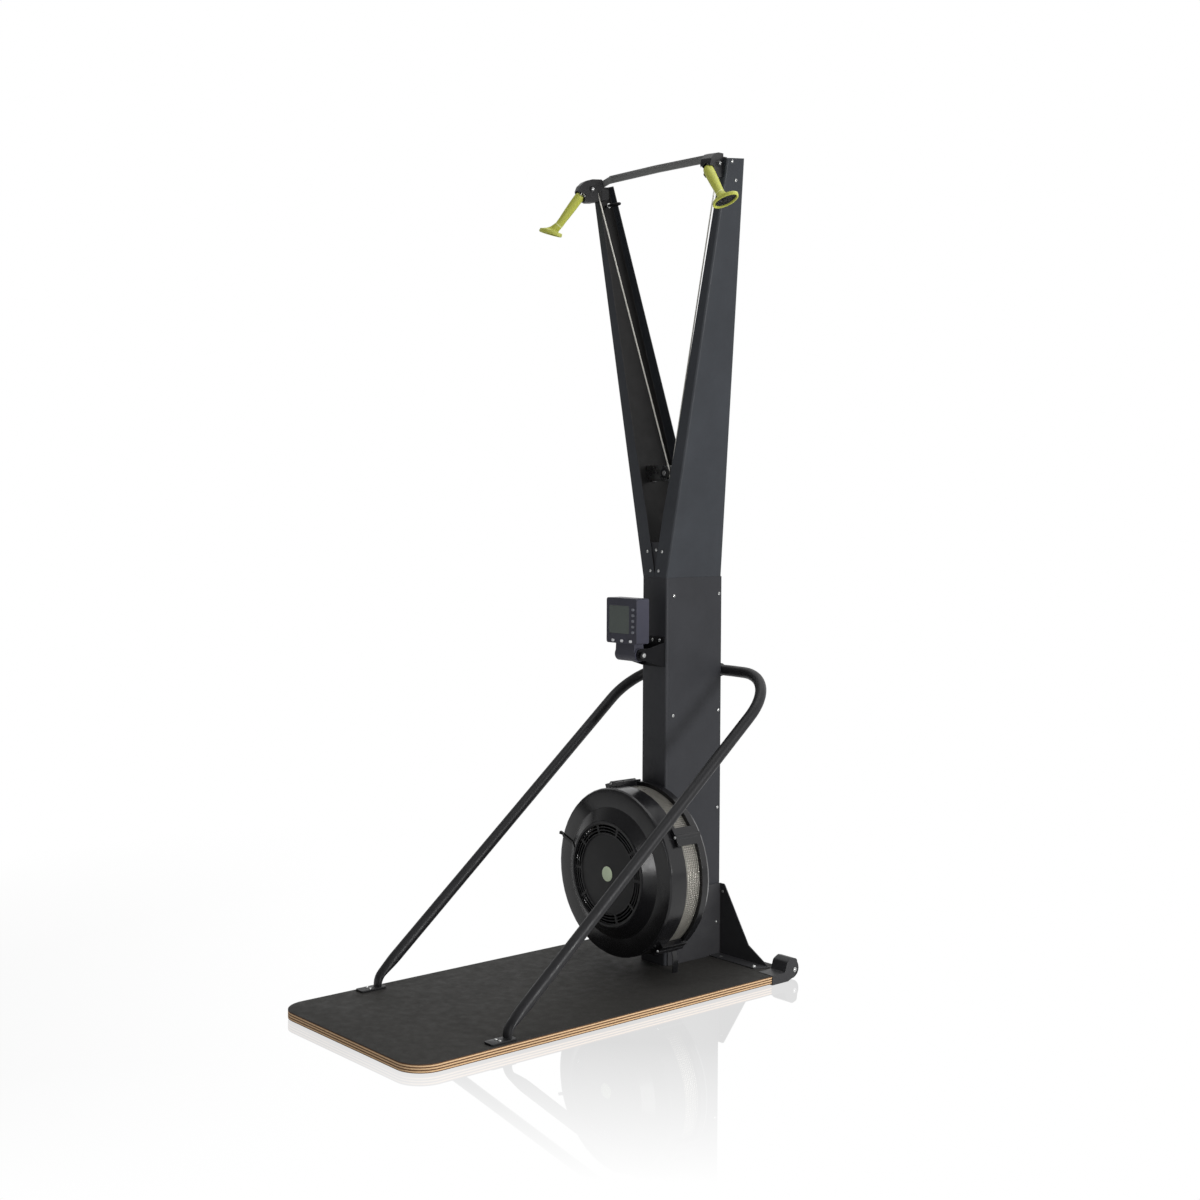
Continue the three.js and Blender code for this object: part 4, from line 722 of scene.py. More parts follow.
class Paint(Enum):
    """Finishes of the machine; each value is the record's slot it dresses."""

    DECK = "deck_laminate"
    RUBBER = "rubber"
    COLUMN = "column_paint"
    ARM = "arm_paint"
    STEEL = "black_steel"
    ZINC = "bright_steel"
    MOULDED = "black_plastic"
    SHELL = "shell_plastic"
    BAND = "band_steel"
    LIME = "handle_plastic"
    CORD = "cord_braid"
    BADGE = "badge_plastic"
    SCREEN = "screen_glass"
    KEYS = "button_plastic"


FINISHES: dict[Paint, Finish] = {
    Paint.DECK: DeckBoard("deck_board", linear(50, 49, 47), linear(90, 84, 76), 0.68, 0.08,
                          tone_drift=0.05, shine=0.14, grain_scale=900, grain_depth=0.0004,
                          edge_radius=0.0006, edge_share=0.1),
    Paint.RUBBER: Finish("strip_rubber", linear(34, 34, 35), linear(60, 60, 60), 0.8, 0.08, shine=0.2,
                         grain_scale=900, grain_depth=0.0003),
    Paint.COLUMN: Finish("column_paint", linear(44, 45, 49), linear(92, 93, 97), 0.5, 0.06, shine=0.28,
                         grain_scale=1700),
    Paint.ARM: ArmPaintShadedInside("arm_paint", linear(49, 52, 57), linear(92, 95, 100), 0.48, 0.06, shine=0.28,
                        grain_scale=1700),
    Paint.STEEL: Finish("black_powder_coat", linear(31, 31, 33), linear(80, 81, 83), 0.42, 0.08, shine=0.28,
                        grain_scale=1500, grain_depth=0.00018),
    Paint.ZINC: Finish("zinc_plate", linear(196, 197, 196), linear(225, 225, 224), 0.3, 0.1,
                       metallic=1.0, grain_scale=2200, grain_depth=0.00004, edge_radius=0.0004),
    Paint.MOULDED: Finish("moulded_black", linear(23, 23, 25), linear(70, 71, 74), 0.4, 0.08, shine=0.38,
                          grain_scale=2400, grain_depth=0.00014, edge_radius=0.0015),
    # The shell's pale edge colour and large edge share are mostly painted highlight on its rims and corners.
    Paint.SHELL: Finish("fan_shell", linear(20, 20, 22), linear(112, 113, 116), 0.22, 0.04, shine=0.45,
                        grain_scale=2600, grain_depth=0.00003, edge_radius=0.0024, edge_share=0.45),
    Paint.BAND: BrushedSheet("band_sheet", linear(158, 155, 147), linear(205, 203, 196), 0.34, 0.08,
                             metallic=0.75, tone_drift=0.06, grain_depth=0.00005, edge_radius=0.0004),
    Paint.LIME: GripPlastic("lime_handle", linear(184, 188, 82), linear(216, 219, 150), 0.45, 0.03,
                            shine=0.3, tone_drift=0.03, grain_scale=900, grain_depth=0.00001,
                            edge_radius=0.0005, edge_share=0.4),
    Paint.CORD: Braid("braided_cord", linear(228, 226, 218), linear(240, 238, 232), 0.85, 0.05,
                      shine=0.1, grain_depth=0.0004, edge_radius=0.0002, edge_share=0.0),
    Paint.BADGE: Finish("badge_enamel", linear(214, 230, 196), linear(235, 240, 225), 0.3, 0.05,
                        coat=0.5, grain_depth=0.00003, edge_radius=0.0008),
    Paint.SCREEN: ScreenGlass("screen_glass", linear(66, 75, 70), linear(54, 62, 58), 0.35, 0.04,
                              coat=0.6, grain_depth=0.00001, edge_radius=0.0003, edge_share=0.0),
    Paint.KEYS: Finish("key_rubber", linear(122, 124, 132), linear(170, 171, 176), 0.6, 0.05,
                       grain_depth=0.00006, edge_radius=0.0006, edge_share=0.2),
}


# The base brackets' black steel is painted paler than the rest: painted light standing in for the light their
# shaded place misses.
BRACKET_COAT_PAINTED_LIGHT = replace(FINISHES[Paint.STEEL], name="bracket_coat", colour=linear(56, 56, 58))
CASTER_BLACK = replace(FINISHES[Paint.MOULDED], name="caster_black", colour=linear(44, 44, 46))
PALE_KEYS = replace(FINISHES[Paint.KEYS], name="pale_key_rubber", colour=linear(228, 229, 232))
VARIANTS: dict[str, Finish] = {
    # The crossbar's black steel is painted pale grey: painted highlight for the light its upturned face
    # reflects from above.
    "crossbar": replace(FINISHES[Paint.STEEL], name="crossbar_steel_painted_highlight", colour=linear(118, 119, 118), roughness=0.36,
                        shine=0.5),
    "monitor_case": Finish("monitor_case", linear(50, 50, 63), linear(100, 101, 114), 0.42, 0.05, shine=0.35,
                           grain_scale=2600, grain_depth=0.00008, edge_radius=0.0022),
    "monitor_bracket": replace(FINISHES[Paint.STEEL], name="tilt_bracket_coat", colour=linear(14, 14, 17),
                               shine=0.12, edge_share=0.6),
    "inlet_grille": replace(FINISHES[Paint.SHELL], name="grille_plastic", roughness=0.42, shine=0.3),
    **{f"base_bracket_{side}": BRACKET_COAT_PAINTED_LIGHT for side in SIDES},
    **{f"caster_bracket_{side}": CASTER_BLACK for side in SIDES},
    **{f"monitor_button_{key}": PALE_KEYS for key in (6, 7, 8)},
}


@dataclass
class FinishShelf:
    """The finishes as materials, each made once."""

    made: dict[str, bpy.types.Material] = field(default_factory=dict)

    def material(self, paint: Paint, node: str = "") -> bpy.types.Material:
        """The material of one finish, or a node's own variant of it.

        Args:
            paint: The finish of the slot.
            node: The CAD node, where one is dressed.

        Returns:
            The material; the deck's reads its top from the frame.
        """
        finish = VARIANTS.get(node, FINISHES[paint])
        if finish.name not in self.made:
            if isinstance(finish, DeckBoard):
                finish = replace(finish, top=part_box("platform")[1].z)
            self.made[finish.name] = finish.build()
        return self.made[finish.name]

    def dress(self, piece: bpy.types.Object, paint: Paint) -> bpy.types.Object:
        """Gives a new piece one finish.

        Args:
            piece: The piece.
            paint: Its finish.

        Returns:
            The piece.
        """
        piece.data.materials.clear()
        piece.data.materials.append(self.material(paint))
        return piece


@dataclass
class Machine:
    """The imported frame, its finishes and the places that new pieces are set out from."""

    frame: dict
    shelf: FinishShelf = field(default_factory=FinishShelf)

    def dress_nodes(self) -> None:
        """Gives every CAD node its slot's finish, with its facets smoothed."""
        for row in self.frame["record"]["subparts"]:
            node = self.frame["nodes"][row["node"]]
            material = self.shelf.material(Paint(row["material_slot"]), row["node"])
            node.material_slots[0].link = "OBJECT"
            node.material_slots[0].material = material
            node.data.attributes.remove(node.data.attributes["custom_normal"])
            node.data.shade_smooth()
            weld = node.modifiers.new("joined_corners", "WELD")
            weld.merge_threshold = WELD
            split_edges(node, STEP_ANGLE if row["node"] in STEPPED else SMOOTH_ANGLE)
            log.info("dressed %s", node.name)

    @staticmethod
    def middle(node: str) -> Array:
        """The middle of a node's box."""
        low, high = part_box(node)
        return np.array((low + high) / 2)

    @staticmethod
    def foot() -> Array:
        """The foot of the column, at the middle of its front face."""
        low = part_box("column_frame")[0]
        return np.array([0, low.y, low.z])


@dataclass
class Cords:
    """Drive cords, pull cords and the return cord over their pulleys and drums."""

    machine: Machine
    radius: float = 1.9 * MM
    sides: int = 12
    pitch: float = 4 * MM
    pulley_radius: float = 22 * MM
    throat_radius: float = 14 * MM
    drum_radius: float = 25 * MM
    drum_main_width: float = 26 * MM
    wrap_turns: float = 0.75
    pull_pitch: float = 0.15 * MM
    hub_radius: float = 12 * MM
    anchor_radius: float = 7.2 * MM
    return_wrap: float = 1.4
    over_points: int = 24
    bend_points: int = 8
    wrap_points: int = 48
    hub_points: int = 24
    anchor_points: int = 12

    def tube(self, name: str, path: Array) -> bpy.types.Object:
        """A round cord along a path, with its own pattern coordinates."""
        across, up = carried_frames(path)
        angle = angles_round(self.sides)
        ring = spun(across, up, angle)
        uv = np.stack(np.broadcast_arrays(angle / math.tau, lengths_along(path)[:, None]), -1)
        return Surfaces().closed_rings(path[:, None] + ring * self.radius, uv).piece(name)

    def on_pulley(self, centre: Array, angle: Array, mirror: int) -> Array:
        """Points of the top pulley's groove at angles from its front, in its yawed plane."""
        along = self.pulley_radius * np.cos(angle)
        place = np.stack([along * math.sin(PULLEY_YAW) * mirror, -along * math.cos(PULLEY_YAW),
                          self.pulley_radius * np.sin(angle)], -1)
        return centre + place

    def leaving_angle(self, centre: Array, handle_top: Array) -> float:
        """Angle on the top pulley where the line to the handle leaves it."""
        ahead = (centre[1] - handle_top[1]) / math.cos(PULLEY_YAW)
        down = handle_top[2] - centre[2]
        return math.atan2(down, ahead) + math.acos(self.pulley_radius / math.hypot(ahead, down))

    def drive_path(self, side: str, handle_top: Array) -> Array:
        """Over the top pulley, down to the throat pulley, down to the drum and round it."""
        mirror = SIDES[side]
        top = self.machine.middle(f"top_pulley_{side}")
        throat = self.machine.middle(f"throat_pulley_{side}")
        low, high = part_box(f"cord_drum_{side}")
        drum = self.machine.middle(f"cord_drum_{side}")
        drum[1] = low.y + self.drum_main_width / 2 if mirror > 0 else high.y - self.drum_main_width / 2
        front = self.leaving_angle(top, handle_top)
        over = self.on_pulley(top, np.linspace(front, math.pi, self.over_points), mirror)
        gap = np.array([(over[-1][0] - throat[0]) * mirror, over[-1][2] - throat[2]])
        start = math.atan2(gap[1], gap[0]) + math.acos(self.throat_radius / np.linalg.norm(gap))
        turn = np.linspace(start, math.pi, self.bend_points)
        bend = throat + self.throat_radius * upright_arc(turn, mirror)
        wrap = -np.linspace(0, self.wrap_turns * math.tau, self.wrap_points)
        around = drum + self.drum_radius * upright_arc(wrap)
        return resampled(np.concatenate([over, bend, around]), self.pitch)

    def return_path(self) -> Array:
        """From the first hub up round the anchor rod and down to the second hub."""
        left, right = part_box("cord_drum_left"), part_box("cord_drum_right")
        axis = self.machine.middle("cord_drum_right")
        middle = (right[1].y + left[0].y) / 2
        low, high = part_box("return_cord")
        anchor = high.z - self.radius - self.anchor_radius
        half = (high.y - low.y) / 2 - self.radius
        turn = math.pi * (1 + np.linspace(0, self.return_wrap, self.hub_points))
        hub = self.hub_radius * upright_arc(turn) + axis * [1, 0, 1]
        rise = np.linspace(math.pi, 0, self.anchor_points)
        loop = np.stack([np.full_like(rise, -self.hub_radius), middle + self.anchor_radius * np.cos(rise),
                         anchor + self.anchor_radius * np.sin(rise)], -1)
        near, far = hub + [0, middle - half, 0], hub + [0, middle + half, 0]
        return resampled(np.concatenate([near[::-1], loop, far]), self.pitch)

    def build(self, handles: Handles) -> None:
        """Makes the five cords in place of their plain solids."""
        for side, mirror in SIDES.items():
            top = handles.top(side)
            drive = self.tube(f"braid_drive_cord_{side}", self.drive_path(side, top))
            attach(self.machine.shelf.dress(drive, Paint.CORD), "frame")
            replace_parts(drive, f"drive_cord_{side}")
            centre = self.machine.middle(f"top_pulley_{side}")
            angle = self.leaving_angle(centre, top)
            start = self.on_pulley(centre, np.array(angle), mirror)
            lead = unit(top - start)
            into = top + handles.along(side) * handles.socket_depth
            path = resampled(np.array([start + lead * self.radius, top, into]), self.pull_pitch)
            pull = self.tube(f"braid_pull_cord_{side}", path)
            self.machine.shelf.dress(pull, Paint.CORD)
            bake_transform(pull)
            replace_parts(pull, f"pull_cord_{side}")
            log.info("cords of the %s side", side)
        back = self.tube("elastic_return_cord", self.return_path())
        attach(self.machine.shelf.dress(back, Paint.RUBBER), "frame")
        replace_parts(back, "return_cord")


@dataclass
class Handles:
    """The two lime hand grips with their oval flanges and ribbed inserts."""

    machine: Machine
    top_step: Point = (7 * MM, -27.5 * MM, -15 * MM)
    neck_step: Point = (83 * MM, -50.5 * MM, -99 * MM)
    flange_step: Point = (102 * MM, -57 * MM, -110 * MM)
    opening: Point = (0.25, -0.206, -0.947)
    long_way: Point = (0.967, -0.065, 0.244)
    top_radius: float = 13.6 * MM
    slim_radius: float = 12.4 * MM
    half_length: float = 43 * MM
    half_width: float = 21 * MM
    rim: float = 5 * MM
    wall: float = 4.5 * MM
    cup: float = 9 * MM
    recess: float = 3 * MM
    socket_depth: float = 9 * MM
    sides: int = 48
    grip_rings: int = 64
    grip_end: float = 0.9
    grip_profile: tuple[tuple[float, float], ...] = (
        (0.0, 0.80), (0.02, 0.94), (0.06, 1.0), (0.2, 1.02), (0.35, 1.0), (0.6, 0.92), (0.78, 0.84),
        (0.9, 0.84),
    )
    flare_rings: int = 32
    flare_profile: tuple[tuple[float, float, float], ...] = (
        (0.3, 0.31, 0.53), (0.6, 0.4, 0.61), (0.82, 0.6, 0.76), (0.94, 0.82, 0.9), (1, 0.97, 0.98),
    )
    lip_rings: int = 10
    insert_grid: tuple[int, int] = (97, 41)
    insert_walls: tuple[float, float] = (2, 1.5)
    insert_crease: float = math.radians(50)
    insert_lift: float = 0.3 * MM
    rib_pitch: float = 8 * MM
    rib_steepness: float = 2.2
    rib_breadth: float = 0.2
    rib_height: float = 0.75
    rib_foot: float = 1.6 * MM
    spine_half: float = 1.4 * MM
    spine_breadth: float = 1.4
    spine_height: float = 0.8
    edge_from: float = 0.86
    edge_slope: float = 0.06
    boss_radius: float = 5.5 * MM
    boss_slope: float = 0.8 * MM

    def turned(self, step: Point, side: str) -> Array:
        """A step or direction for one side."""
        return np.array(step) * [SIDES[side], 1, 1]

    def top(self, side: str) -> Array:
        """Where the cord enters a handle."""
        return self.machine.middle(f"top_pulley_{side}") + self.turned(self.top_step, side)

    def along(self, side: str) -> Array:
        """The way a grip runs from its top."""
        return unit(self.turned(self.neck_step, side) - self.turned(self.top_step, side))

    def axes(self, side: str) -> tuple[Array, Array, Array]:
        """A flange's opening, long and wide directions."""
        out = unit(self.turned(self.opening, side))
        long = self.turned(self.long_way, side)
        long = unit(long - out * (long @ out))
        return out, long, unit(np.cross(out, long))

    def rings(self, centre: Array, long: Array, wide: Array) -> Array:
        """Ovals round centres, from their long and wide half axes as vectors."""
        angle = angles_round(self.sides)[:, None]
        return centre[:, None] + long[:, None] * np.cos(angle) + wide[:, None] * np.sin(angle)

    def grip(self, side: str) -> bpy.types.Object:
        """A grip: a domed slim oval that flares into a flange with a round lip and a shallow cup."""
        centre = self.machine.middle(f"top_pulley_{side}")
        top, neck = self.top(side), centre + self.turned(self.neck_step, side)
        flange = centre + self.turned(self.flange_step, side)
        out, flange_long, flange_wide = self.axes(side)
        along = self.along(side)
        grip_long = unit(flange_long - along * (flange_long @ along))
        grip_wide = np.cross(along, grip_long)
        back = flange - out * self.cup / 2
        swell = curved(np.array(self.grip_profile), self.grip_rings)
        shares = np.linspace(0, self.grip_end, self.grip_rings)[:, None]
        mid = top + (neck - top) * shares
        body = [mid, grip_long * self.top_radius * swell, grip_wide * self.slim_radius * swell]
        neck_share = self.grip_profile[-1][1]
        start = (0, self.top_radius * neck_share / self.half_length,
                 self.slim_radius * neck_share / self.half_width)
        flare = curved(np.array([start, *self.flare_profile]), self.flare_rings)
        share = np.linspace(0, 1, self.flare_rings)[:, None]
        spine = top + (neck - top) * (self.grip_end + (1 - self.grip_end) * share)
        spine = spine + (back - spine) * share
        long = unit(grip_long * (1 - share) + flange_long * share)
        wide = unit(grip_wide * (1 - share) + flange_wide * share)
        flared = [spine, long * self.half_length * flare[:, :1], wide * self.half_width * flare[:, 1:2]]
        lip_turn = np.linspace(-math.pi / 2, math.pi / 2, self.lip_rings)[:, None]
        inner_long, inner_wide = self.half_length - self.wall, self.half_width - self.wall
        lip_radius = self.wall / 2
        depth = self.rim - lip_radius + lip_radius * np.cos(lip_turn)
        shift = -lip_radius + lip_radius * -np.sin(lip_turn)
        lip = [flange + out * depth, flange_long * (self.half_length + shift),
               flange_wide * (self.half_width + shift)]
        floor_long, floor_wide = inner_long - self.wall, inner_wide - self.wall / 2
        cup = [flange + out * np.array([[self.rim - self.cup]]),
               flange_long * np.array([[floor_long]]), flange_wide * np.array([[floor_wide]])]
        outer = [flange + out * np.array([[0.0]]), flange_long * np.array([[self.half_length]]),
                 flange_wide * np.array([[self.half_width]])]
        parts = [body, flared, outer, lip, cup]
        centres, longs, wides = (np.concatenate([part[index] for part in parts]) for index in range(3))
        made = Surfaces().closed_rings(self.rings(centres, longs, wides)).piece(f"hand_grip_{side}")
        self.machine.shelf.dress(made, Paint.LIME)
        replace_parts(made, f"handle_{side}")
        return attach(made, f"handle_{side}")

    def insert(self, side: str) -> bpy.types.Object:
        """A ribbed rubber plug in the flange.

        Its face is an oval worked from a square grid; the height is a row of rounded ribs along
        the long way, with one rib down the middle and a raised rim.
        """
        centre = self.machine.middle(f"top_pulley_{side}") + self.turned(self.flange_step, side)
        out, long, wide = self.axes(side)
        half_long = self.half_length - self.insert_walls[0] * self.wall
        half_wide = self.half_width - self.insert_walls[1] * self.wall
        u, v = np.meshgrid(*(np.linspace(-1, 1, count) for count in self.insert_grid), indexing="ij")
        x = u * np.sqrt(1 - v * v / 2)
        y = v * np.sqrt(1 - u * u / 2)
        wave = np.cos(x * half_long * math.tau / self.rib_pitch)
        rib = np.clip(wave * self.rib_steepness + self.rib_breadth, 0, 1)
        spine = np.clip(self.spine_breadth - np.abs(y) * half_wide / self.spine_half, 0, 1)
        edge = np.clip((np.hypot(x, y) - self.edge_from) / self.edge_slope, 0, 1)
        boss = np.clip((self.boss_radius - np.hypot(x * half_long, y * half_wide)) / self.boss_slope, 0, 1)
        height = np.maximum.reduce([rib * self.rib_height, spine * self.spine_height, edge, boss])
        low, high = self.rim - self.cup + self.rib_foot, self.rim - self.recess
        level = low + (high - low) * height

        def face(depth: Array) -> Array:
            """The oval grid at depths along the opening."""
            return (centre + long * (x * half_long)[..., None] + wide * (y * half_wide)[..., None]
                    + out * depth[..., None])

        base = np.full_like(level, self.rim - self.cup + self.insert_lift)
        made = Surfaces().slab(face(level), face(base)).piece(f"grip_insert_{side}", self.insert_crease)
        self.machine.shelf.dress(made, Paint.MOULDED)
        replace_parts(made, f"handle_insert_{side}")
        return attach(made, f"handle_{side}")

    def build(self) -> None:
        """Makes both handles."""
        for side in SIDES:
            self.grip(side)
            self.insert(side)
            log.info("handle of the %s side", side)


@dataclass
class OutletBand:
    """The perforated sheet round the fan, a lattice of square cells with an eight-sided hole in each."""

    machine: Machine
    pitch: float = 6 * MM
    hole: float = 1.75 * MM
    thickness: float = 1.2 * MM
    corners: int = 8

    def build(self) -> None:
        """Makes the band in place of its plain solid.

        A cell's outline is four corners shared with its neighbours; its hole is eight points on
        a circle. Four quads and four triangles join them, and Solidify gives the wall.
        """
        low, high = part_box("outlet_band")
        centre = self.machine.middle("outlet_band")
        radius = (high.x - low.x) / 2
        around = round(math.tau * radius / self.pitch)
        rows = round((high.y - low.y) / self.pitch)
        angle = np.arange(around) * math.tau / around
        depth = np.linspace(low.y, high.y, rows + 1)
        corner_angle, corner_depth = np.meshgrid(angle, depth, indexing="ij")
        cell_angle = (angle + math.pi / around)[:, None, None]
        cell_depth = ((depth[1:] + depth[:-1]) / 2)[None, :, None]
        turn = (np.arange(self.corners) + 0.5) * math.tau / self.corners
        hole_angle, hole_depth = np.broadcast_arrays(
            cell_angle + np.cos(turn) * self.hole / radius, cell_depth + np.sin(turn) * self.hole)

        def on_band(turned: Array, along: Array) -> Array:
            """Points of the band at angles and depths."""
            return np.stack([centre[0] + radius * np.cos(turned), along,
                             centre[2] + radius * np.sin(turned)], -1).reshape(-1, 3)

        points = np.concatenate([on_band(corner_angle, corner_depth), on_band(hole_angle, hole_depth)])
        i, j = np.meshgrid(np.arange(around), np.arange(rows), indexing="ij")
        after = (i + 1) % around
        cell = np.stack([after * (rows + 1) + j + 1, i * (rows + 1) + j + 1,
                         i * (rows + 1) + j, after * (rows + 1) + j], -1)
        hole = around * (rows + 1) + (i * rows + j)[..., None] * self.corners + np.arange(self.corners)
        quads, triangles = [], []
        for side in range(4):
            first, second = 2 * side, 2 * side + 1
            corner = cell[..., side]
            triangles.append(np.stack([corner, hole[..., second], hole[..., first]], -1).reshape(-1, 3))
            following = cell[..., (side + 1) % 4]
            quads.append(np.stack([corner, following, hole[..., (second + 1) % self.corners],
                                   hole[..., second]], -1).reshape(-1, 4))
        band = make_piece("perforated_band", points, quads + triangles)
        turn_outwards(band)
        wall = band.modifiers.new("sheet_wall", "SOLIDIFY")
        wall.thickness = self.thickness
        wall.offset = -1
        self.machine.shelf.dress(band, Paint.BAND)
        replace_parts(band, "outlet_band")
        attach(band, "frame")
        log.info("outlet band of %d by %d cells", around, rows)


@dataclass
class Deck:
    """The deck board with round corners, notched at the back for the casters."""

    machine: Machine
    corner_radius: float = 70 * MM
    edge: float = 1.2 * MM

    def build(self) -> None:
        """Makes the board in place of its plain solid."""
        low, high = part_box("platform")
        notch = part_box("caster_bracket_right")[0]
        wide, narrow, step = high.x, notch.x - CLEARANCE, notch.y - CLEARANCE
        right = [
            (wide, low.y, 0, self.corner_radius), (wide, step, 0, 0), (narrow, step, 0, 0),
            (narrow, high.y, 0, 0),
        ]
        left = [(-x, y, z, radius) for x, y, z, radius in reversed(right)]
        outline = filleted(np.array(right + left), closed=True)
        rings = plate_rings(outline, low.z, high.z, self.edge)
        board = Surfaces().closed_rings(rings).piece("deck_board")
        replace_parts(self.machine.shelf.dress(board, Paint.DECK), "platform")
        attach(board, "frame")
        log.info("deck board")


@dataclass
class Braces:
    """The two bent tubes, each pressed flat where it is welded to its foot plate."""

    machine: Machine
    radius: float = 15 * MM
    sides: int = 32
    pitch: float = 8 * MM
    flat: float = 0.42
    spread: float = 1.08
    pressed: float = 95 * MM
    plate_width: float = 33 * MM
    plate_length: float = 74 * MM
    plate_thickness: float = 5 * MM
    plate_corner: float = 6 * MM
    plate_edge: float = 0.8 * MM
    # Corners of the centreline in millimetres from the column's foot, each with its radius.
    stops: tuple[tuple[float, ...], ...] = (
        (273.5, -701, 2.2, 0), (273.5, -701, 25.7, 40), (273.5, 203, 784.7, 163),
        (80, 222.1, 784.7, 200), (4, 222.1, 784.7, 0),
    )

    def build(self) -> None:
        """Makes both braces in place of their plain solids."""
        for side, mirror in SIDES.items():
            stops = np.array(self.stops) * MM
            stops[:, :3] = (stops[:, :3] + self.machine.foot()) * [mirror, 1, 1]
            path = resampled(filleted(stops), self.pitch)
            across, up = carried_frames(path)
            share = eased(np.clip(np.arange(len(path)) * self.pitch / self.pressed, 0, 1))[:, None, None]
            angle = angles_round(self.sides)[:, None]
            wide = self.radius * (self.spread + (1 - self.spread) * share)
            thick = self.radius * (self.flat + (1 - self.flat) * share)
            oval = across[:, None] * np.cos(angle) * wide + up[:, None] * np.sin(angle) * thick
            rings = path[:, None] + oval
            low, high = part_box(f"brace_{side}")
            plate_low, plate_high = self.plate_box(low, high, mirror)
            corners = [(plate_high[0], plate_low[1]), (plate_high[0], plate_high[1]),
                       (plate_low[0], plate_high[1]), (plate_low[0], plate_low[1])]
            outline = filleted(np.array([(x, y, 0, self.plate_corner) for x, y in corners]), closed=True)
            plate = plate_rings(outline, low.z, low.z + self.plate_thickness, self.plate_edge)
            brace = Surfaces().closed_rings(rings).closed_rings(plate).piece(f"bent_brace_{side}")
            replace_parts(self.machine.shelf.dress(brace, Paint.STEEL), f"brace_{side}")
            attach(brace, "frame")
            log.info("brace of the %s side", side)

    def plate_box(self, low: Vector, high: Vector, mirror: int) -> tuple[Array, Array]:
        """Low and high corners of a foot plate, at the outer front end of its brace's box."""
        outer = high.x if mirror > 0 else low.x
        inner = outer - mirror * self.plate_width
        rear = low.y + self.plate_length
        return np.array([min(inner, outer), low.y]), np.array([max(inner, outer), rear])


class Head(Enum):
    """Kinds of fastener head: radius, height and socket radius in metres."""

    BUTTON = (4.2 * MM, 2.4 * MM, 1.7 * MM)
    WASHER = (7.7 * MM, 0.8 * MM, 3.9 * MM)
    LARGE = (6.5 * MM, 3.6 * MM, 2.6 * MM)


@dataclass(frozen=True)
class Fastener:
    """One fastener: a point outside the machine and the way to look for its seat."""

    start: Point
    way: Point
    head: Head = Head.BUTTON


@dataclass
class Fasteners:
    """Button-head screws set on the surfaces they hold, in groups by the body that carries them."""

    machine: Machine
    sides: int = 24
    reach: float = 0.5
    dome_rings: int = 7
    sink: float = 0.3 * MM
    rim_share: float = 0.35
    socket_share: float = 0.25
    socket_middle: float = 0.2

    def head(self, seat: Array, out: Array, kind: Head) -> Array:
        """Rings of one head: a low dome with a six-sided socket.

        The dome's rise falls off with the square of the radius; the socket's radius follows the
        secant of the angle from each flat's middle.
        """
        radius, height, socket = kind.value
        across, up = turned_about(out)
        angle = angles_round(self.sides)
        flat = (angle + math.pi / 6) % (math.pi / 3) - math.pi / 6
        hexagon = socket / np.cos(flat)
        share = np.linspace(1, 0, self.dome_rings)[1:]
        rim = np.stack([np.full_like(angle, radius)] * 2)
        dome = hexagon * (1 - share[:, None]) + radius * share[:, None]
        wide = np.concatenate([rim, dome, hexagon[None], hexagon[None] * self.socket_middle])
        lift = np.concatenate([
            [-self.sink, height * self.rim_share],
            height * (self.rim_share + (1 - self.rim_share) * (1 - share ** 2)),
            [height * self.socket_share] * 2,
        ])
        return seat + wide[..., None] * spun(across, up, angle) + lift[:, None, None] * out

    def seat(self, fastener: Fastener) -> tuple[Array, Array, str] | None:
        """Where a fastener lands, the way it faces and the body that carries it."""
        foot = self.machine.foot()
        start = Vector(foot + np.array(fastener.start))
        graph = bpy.context.evaluated_depsgraph_get()
        hit, place, normal, _, found, _ = bpy.context.scene.ray_cast(
            graph, start, Vector(fastener.way).normalized(), distance=self.reach)
        if not hit:
            log.warning("no seat for the fastener at %s", fastener.start)
            return None
        return np.array(place), unit(np.array(normal)), found["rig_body"]

    def build(self, groups: dict[str, list[Fastener]], dark: tuple[str, ...] = ()) -> None:
        """Makes one piece for each group and carrier.

        Args:
            groups: The fasteners of each group by its name.
            dark: Groups that are black instead of zinc.
        """
        seats = {name: [(self.seat(item), item.head) for item in items] for name, items in groups.items()}
        for name, found in seats.items():
            by_body: dict[str, Surfaces] = {}
            for landed, kind in found:
                if landed is None:
                    continue
                place, out, body = landed
                by_body.setdefault(body, Surfaces()).closed_rings(self.head(place, out, kind))
            for body, surfaces in by_body.items():
                made = surfaces.piece(f"screws_{name}" if len(by_body) == 1 else f"screws_{name}_{body}")
                paint = Paint.STEEL if name in dark else Paint.ZINC
                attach(self.machine.shelf.dress(made, paint), body)
                log.info("screws %s on %s", name, body)


def mm(*values: float) -> Point:
    """A place given in millimetres from the column's foot."""
    return tuple(value * MM for value in values)


def mirrored_pair(place: Point, way: Point, head: Head = Head.BUTTON) -> list[Fastener]:
    """One fastener and its twin on the other side."""
    twin = Fastener((-place[0], *place[1:]), (-way[0], *way[1:]), head)
    return [Fastener(place, way, head), twin]


def axle_heads(machine: Machine, head: Head) -> list[Fastener]:
    """A head on each end of the top pulleys' axles, which are turned out by the pulleys' yaw."""
    heads = []
    for side, mirror in SIDES.items():
        middle = machine.middle(f"top_pulley_axle_{side}") - machine.foot()
        axis = np.array([math.cos(PULLEY_YAW), mirror * math.sin(PULLEY_YAW), 0])
        for way in (1, -1):
            start = middle + axis * way * AXLE_REACH
            heads.append(Fastener(as_point(start), as_point(-axis * way), head))
    return heads


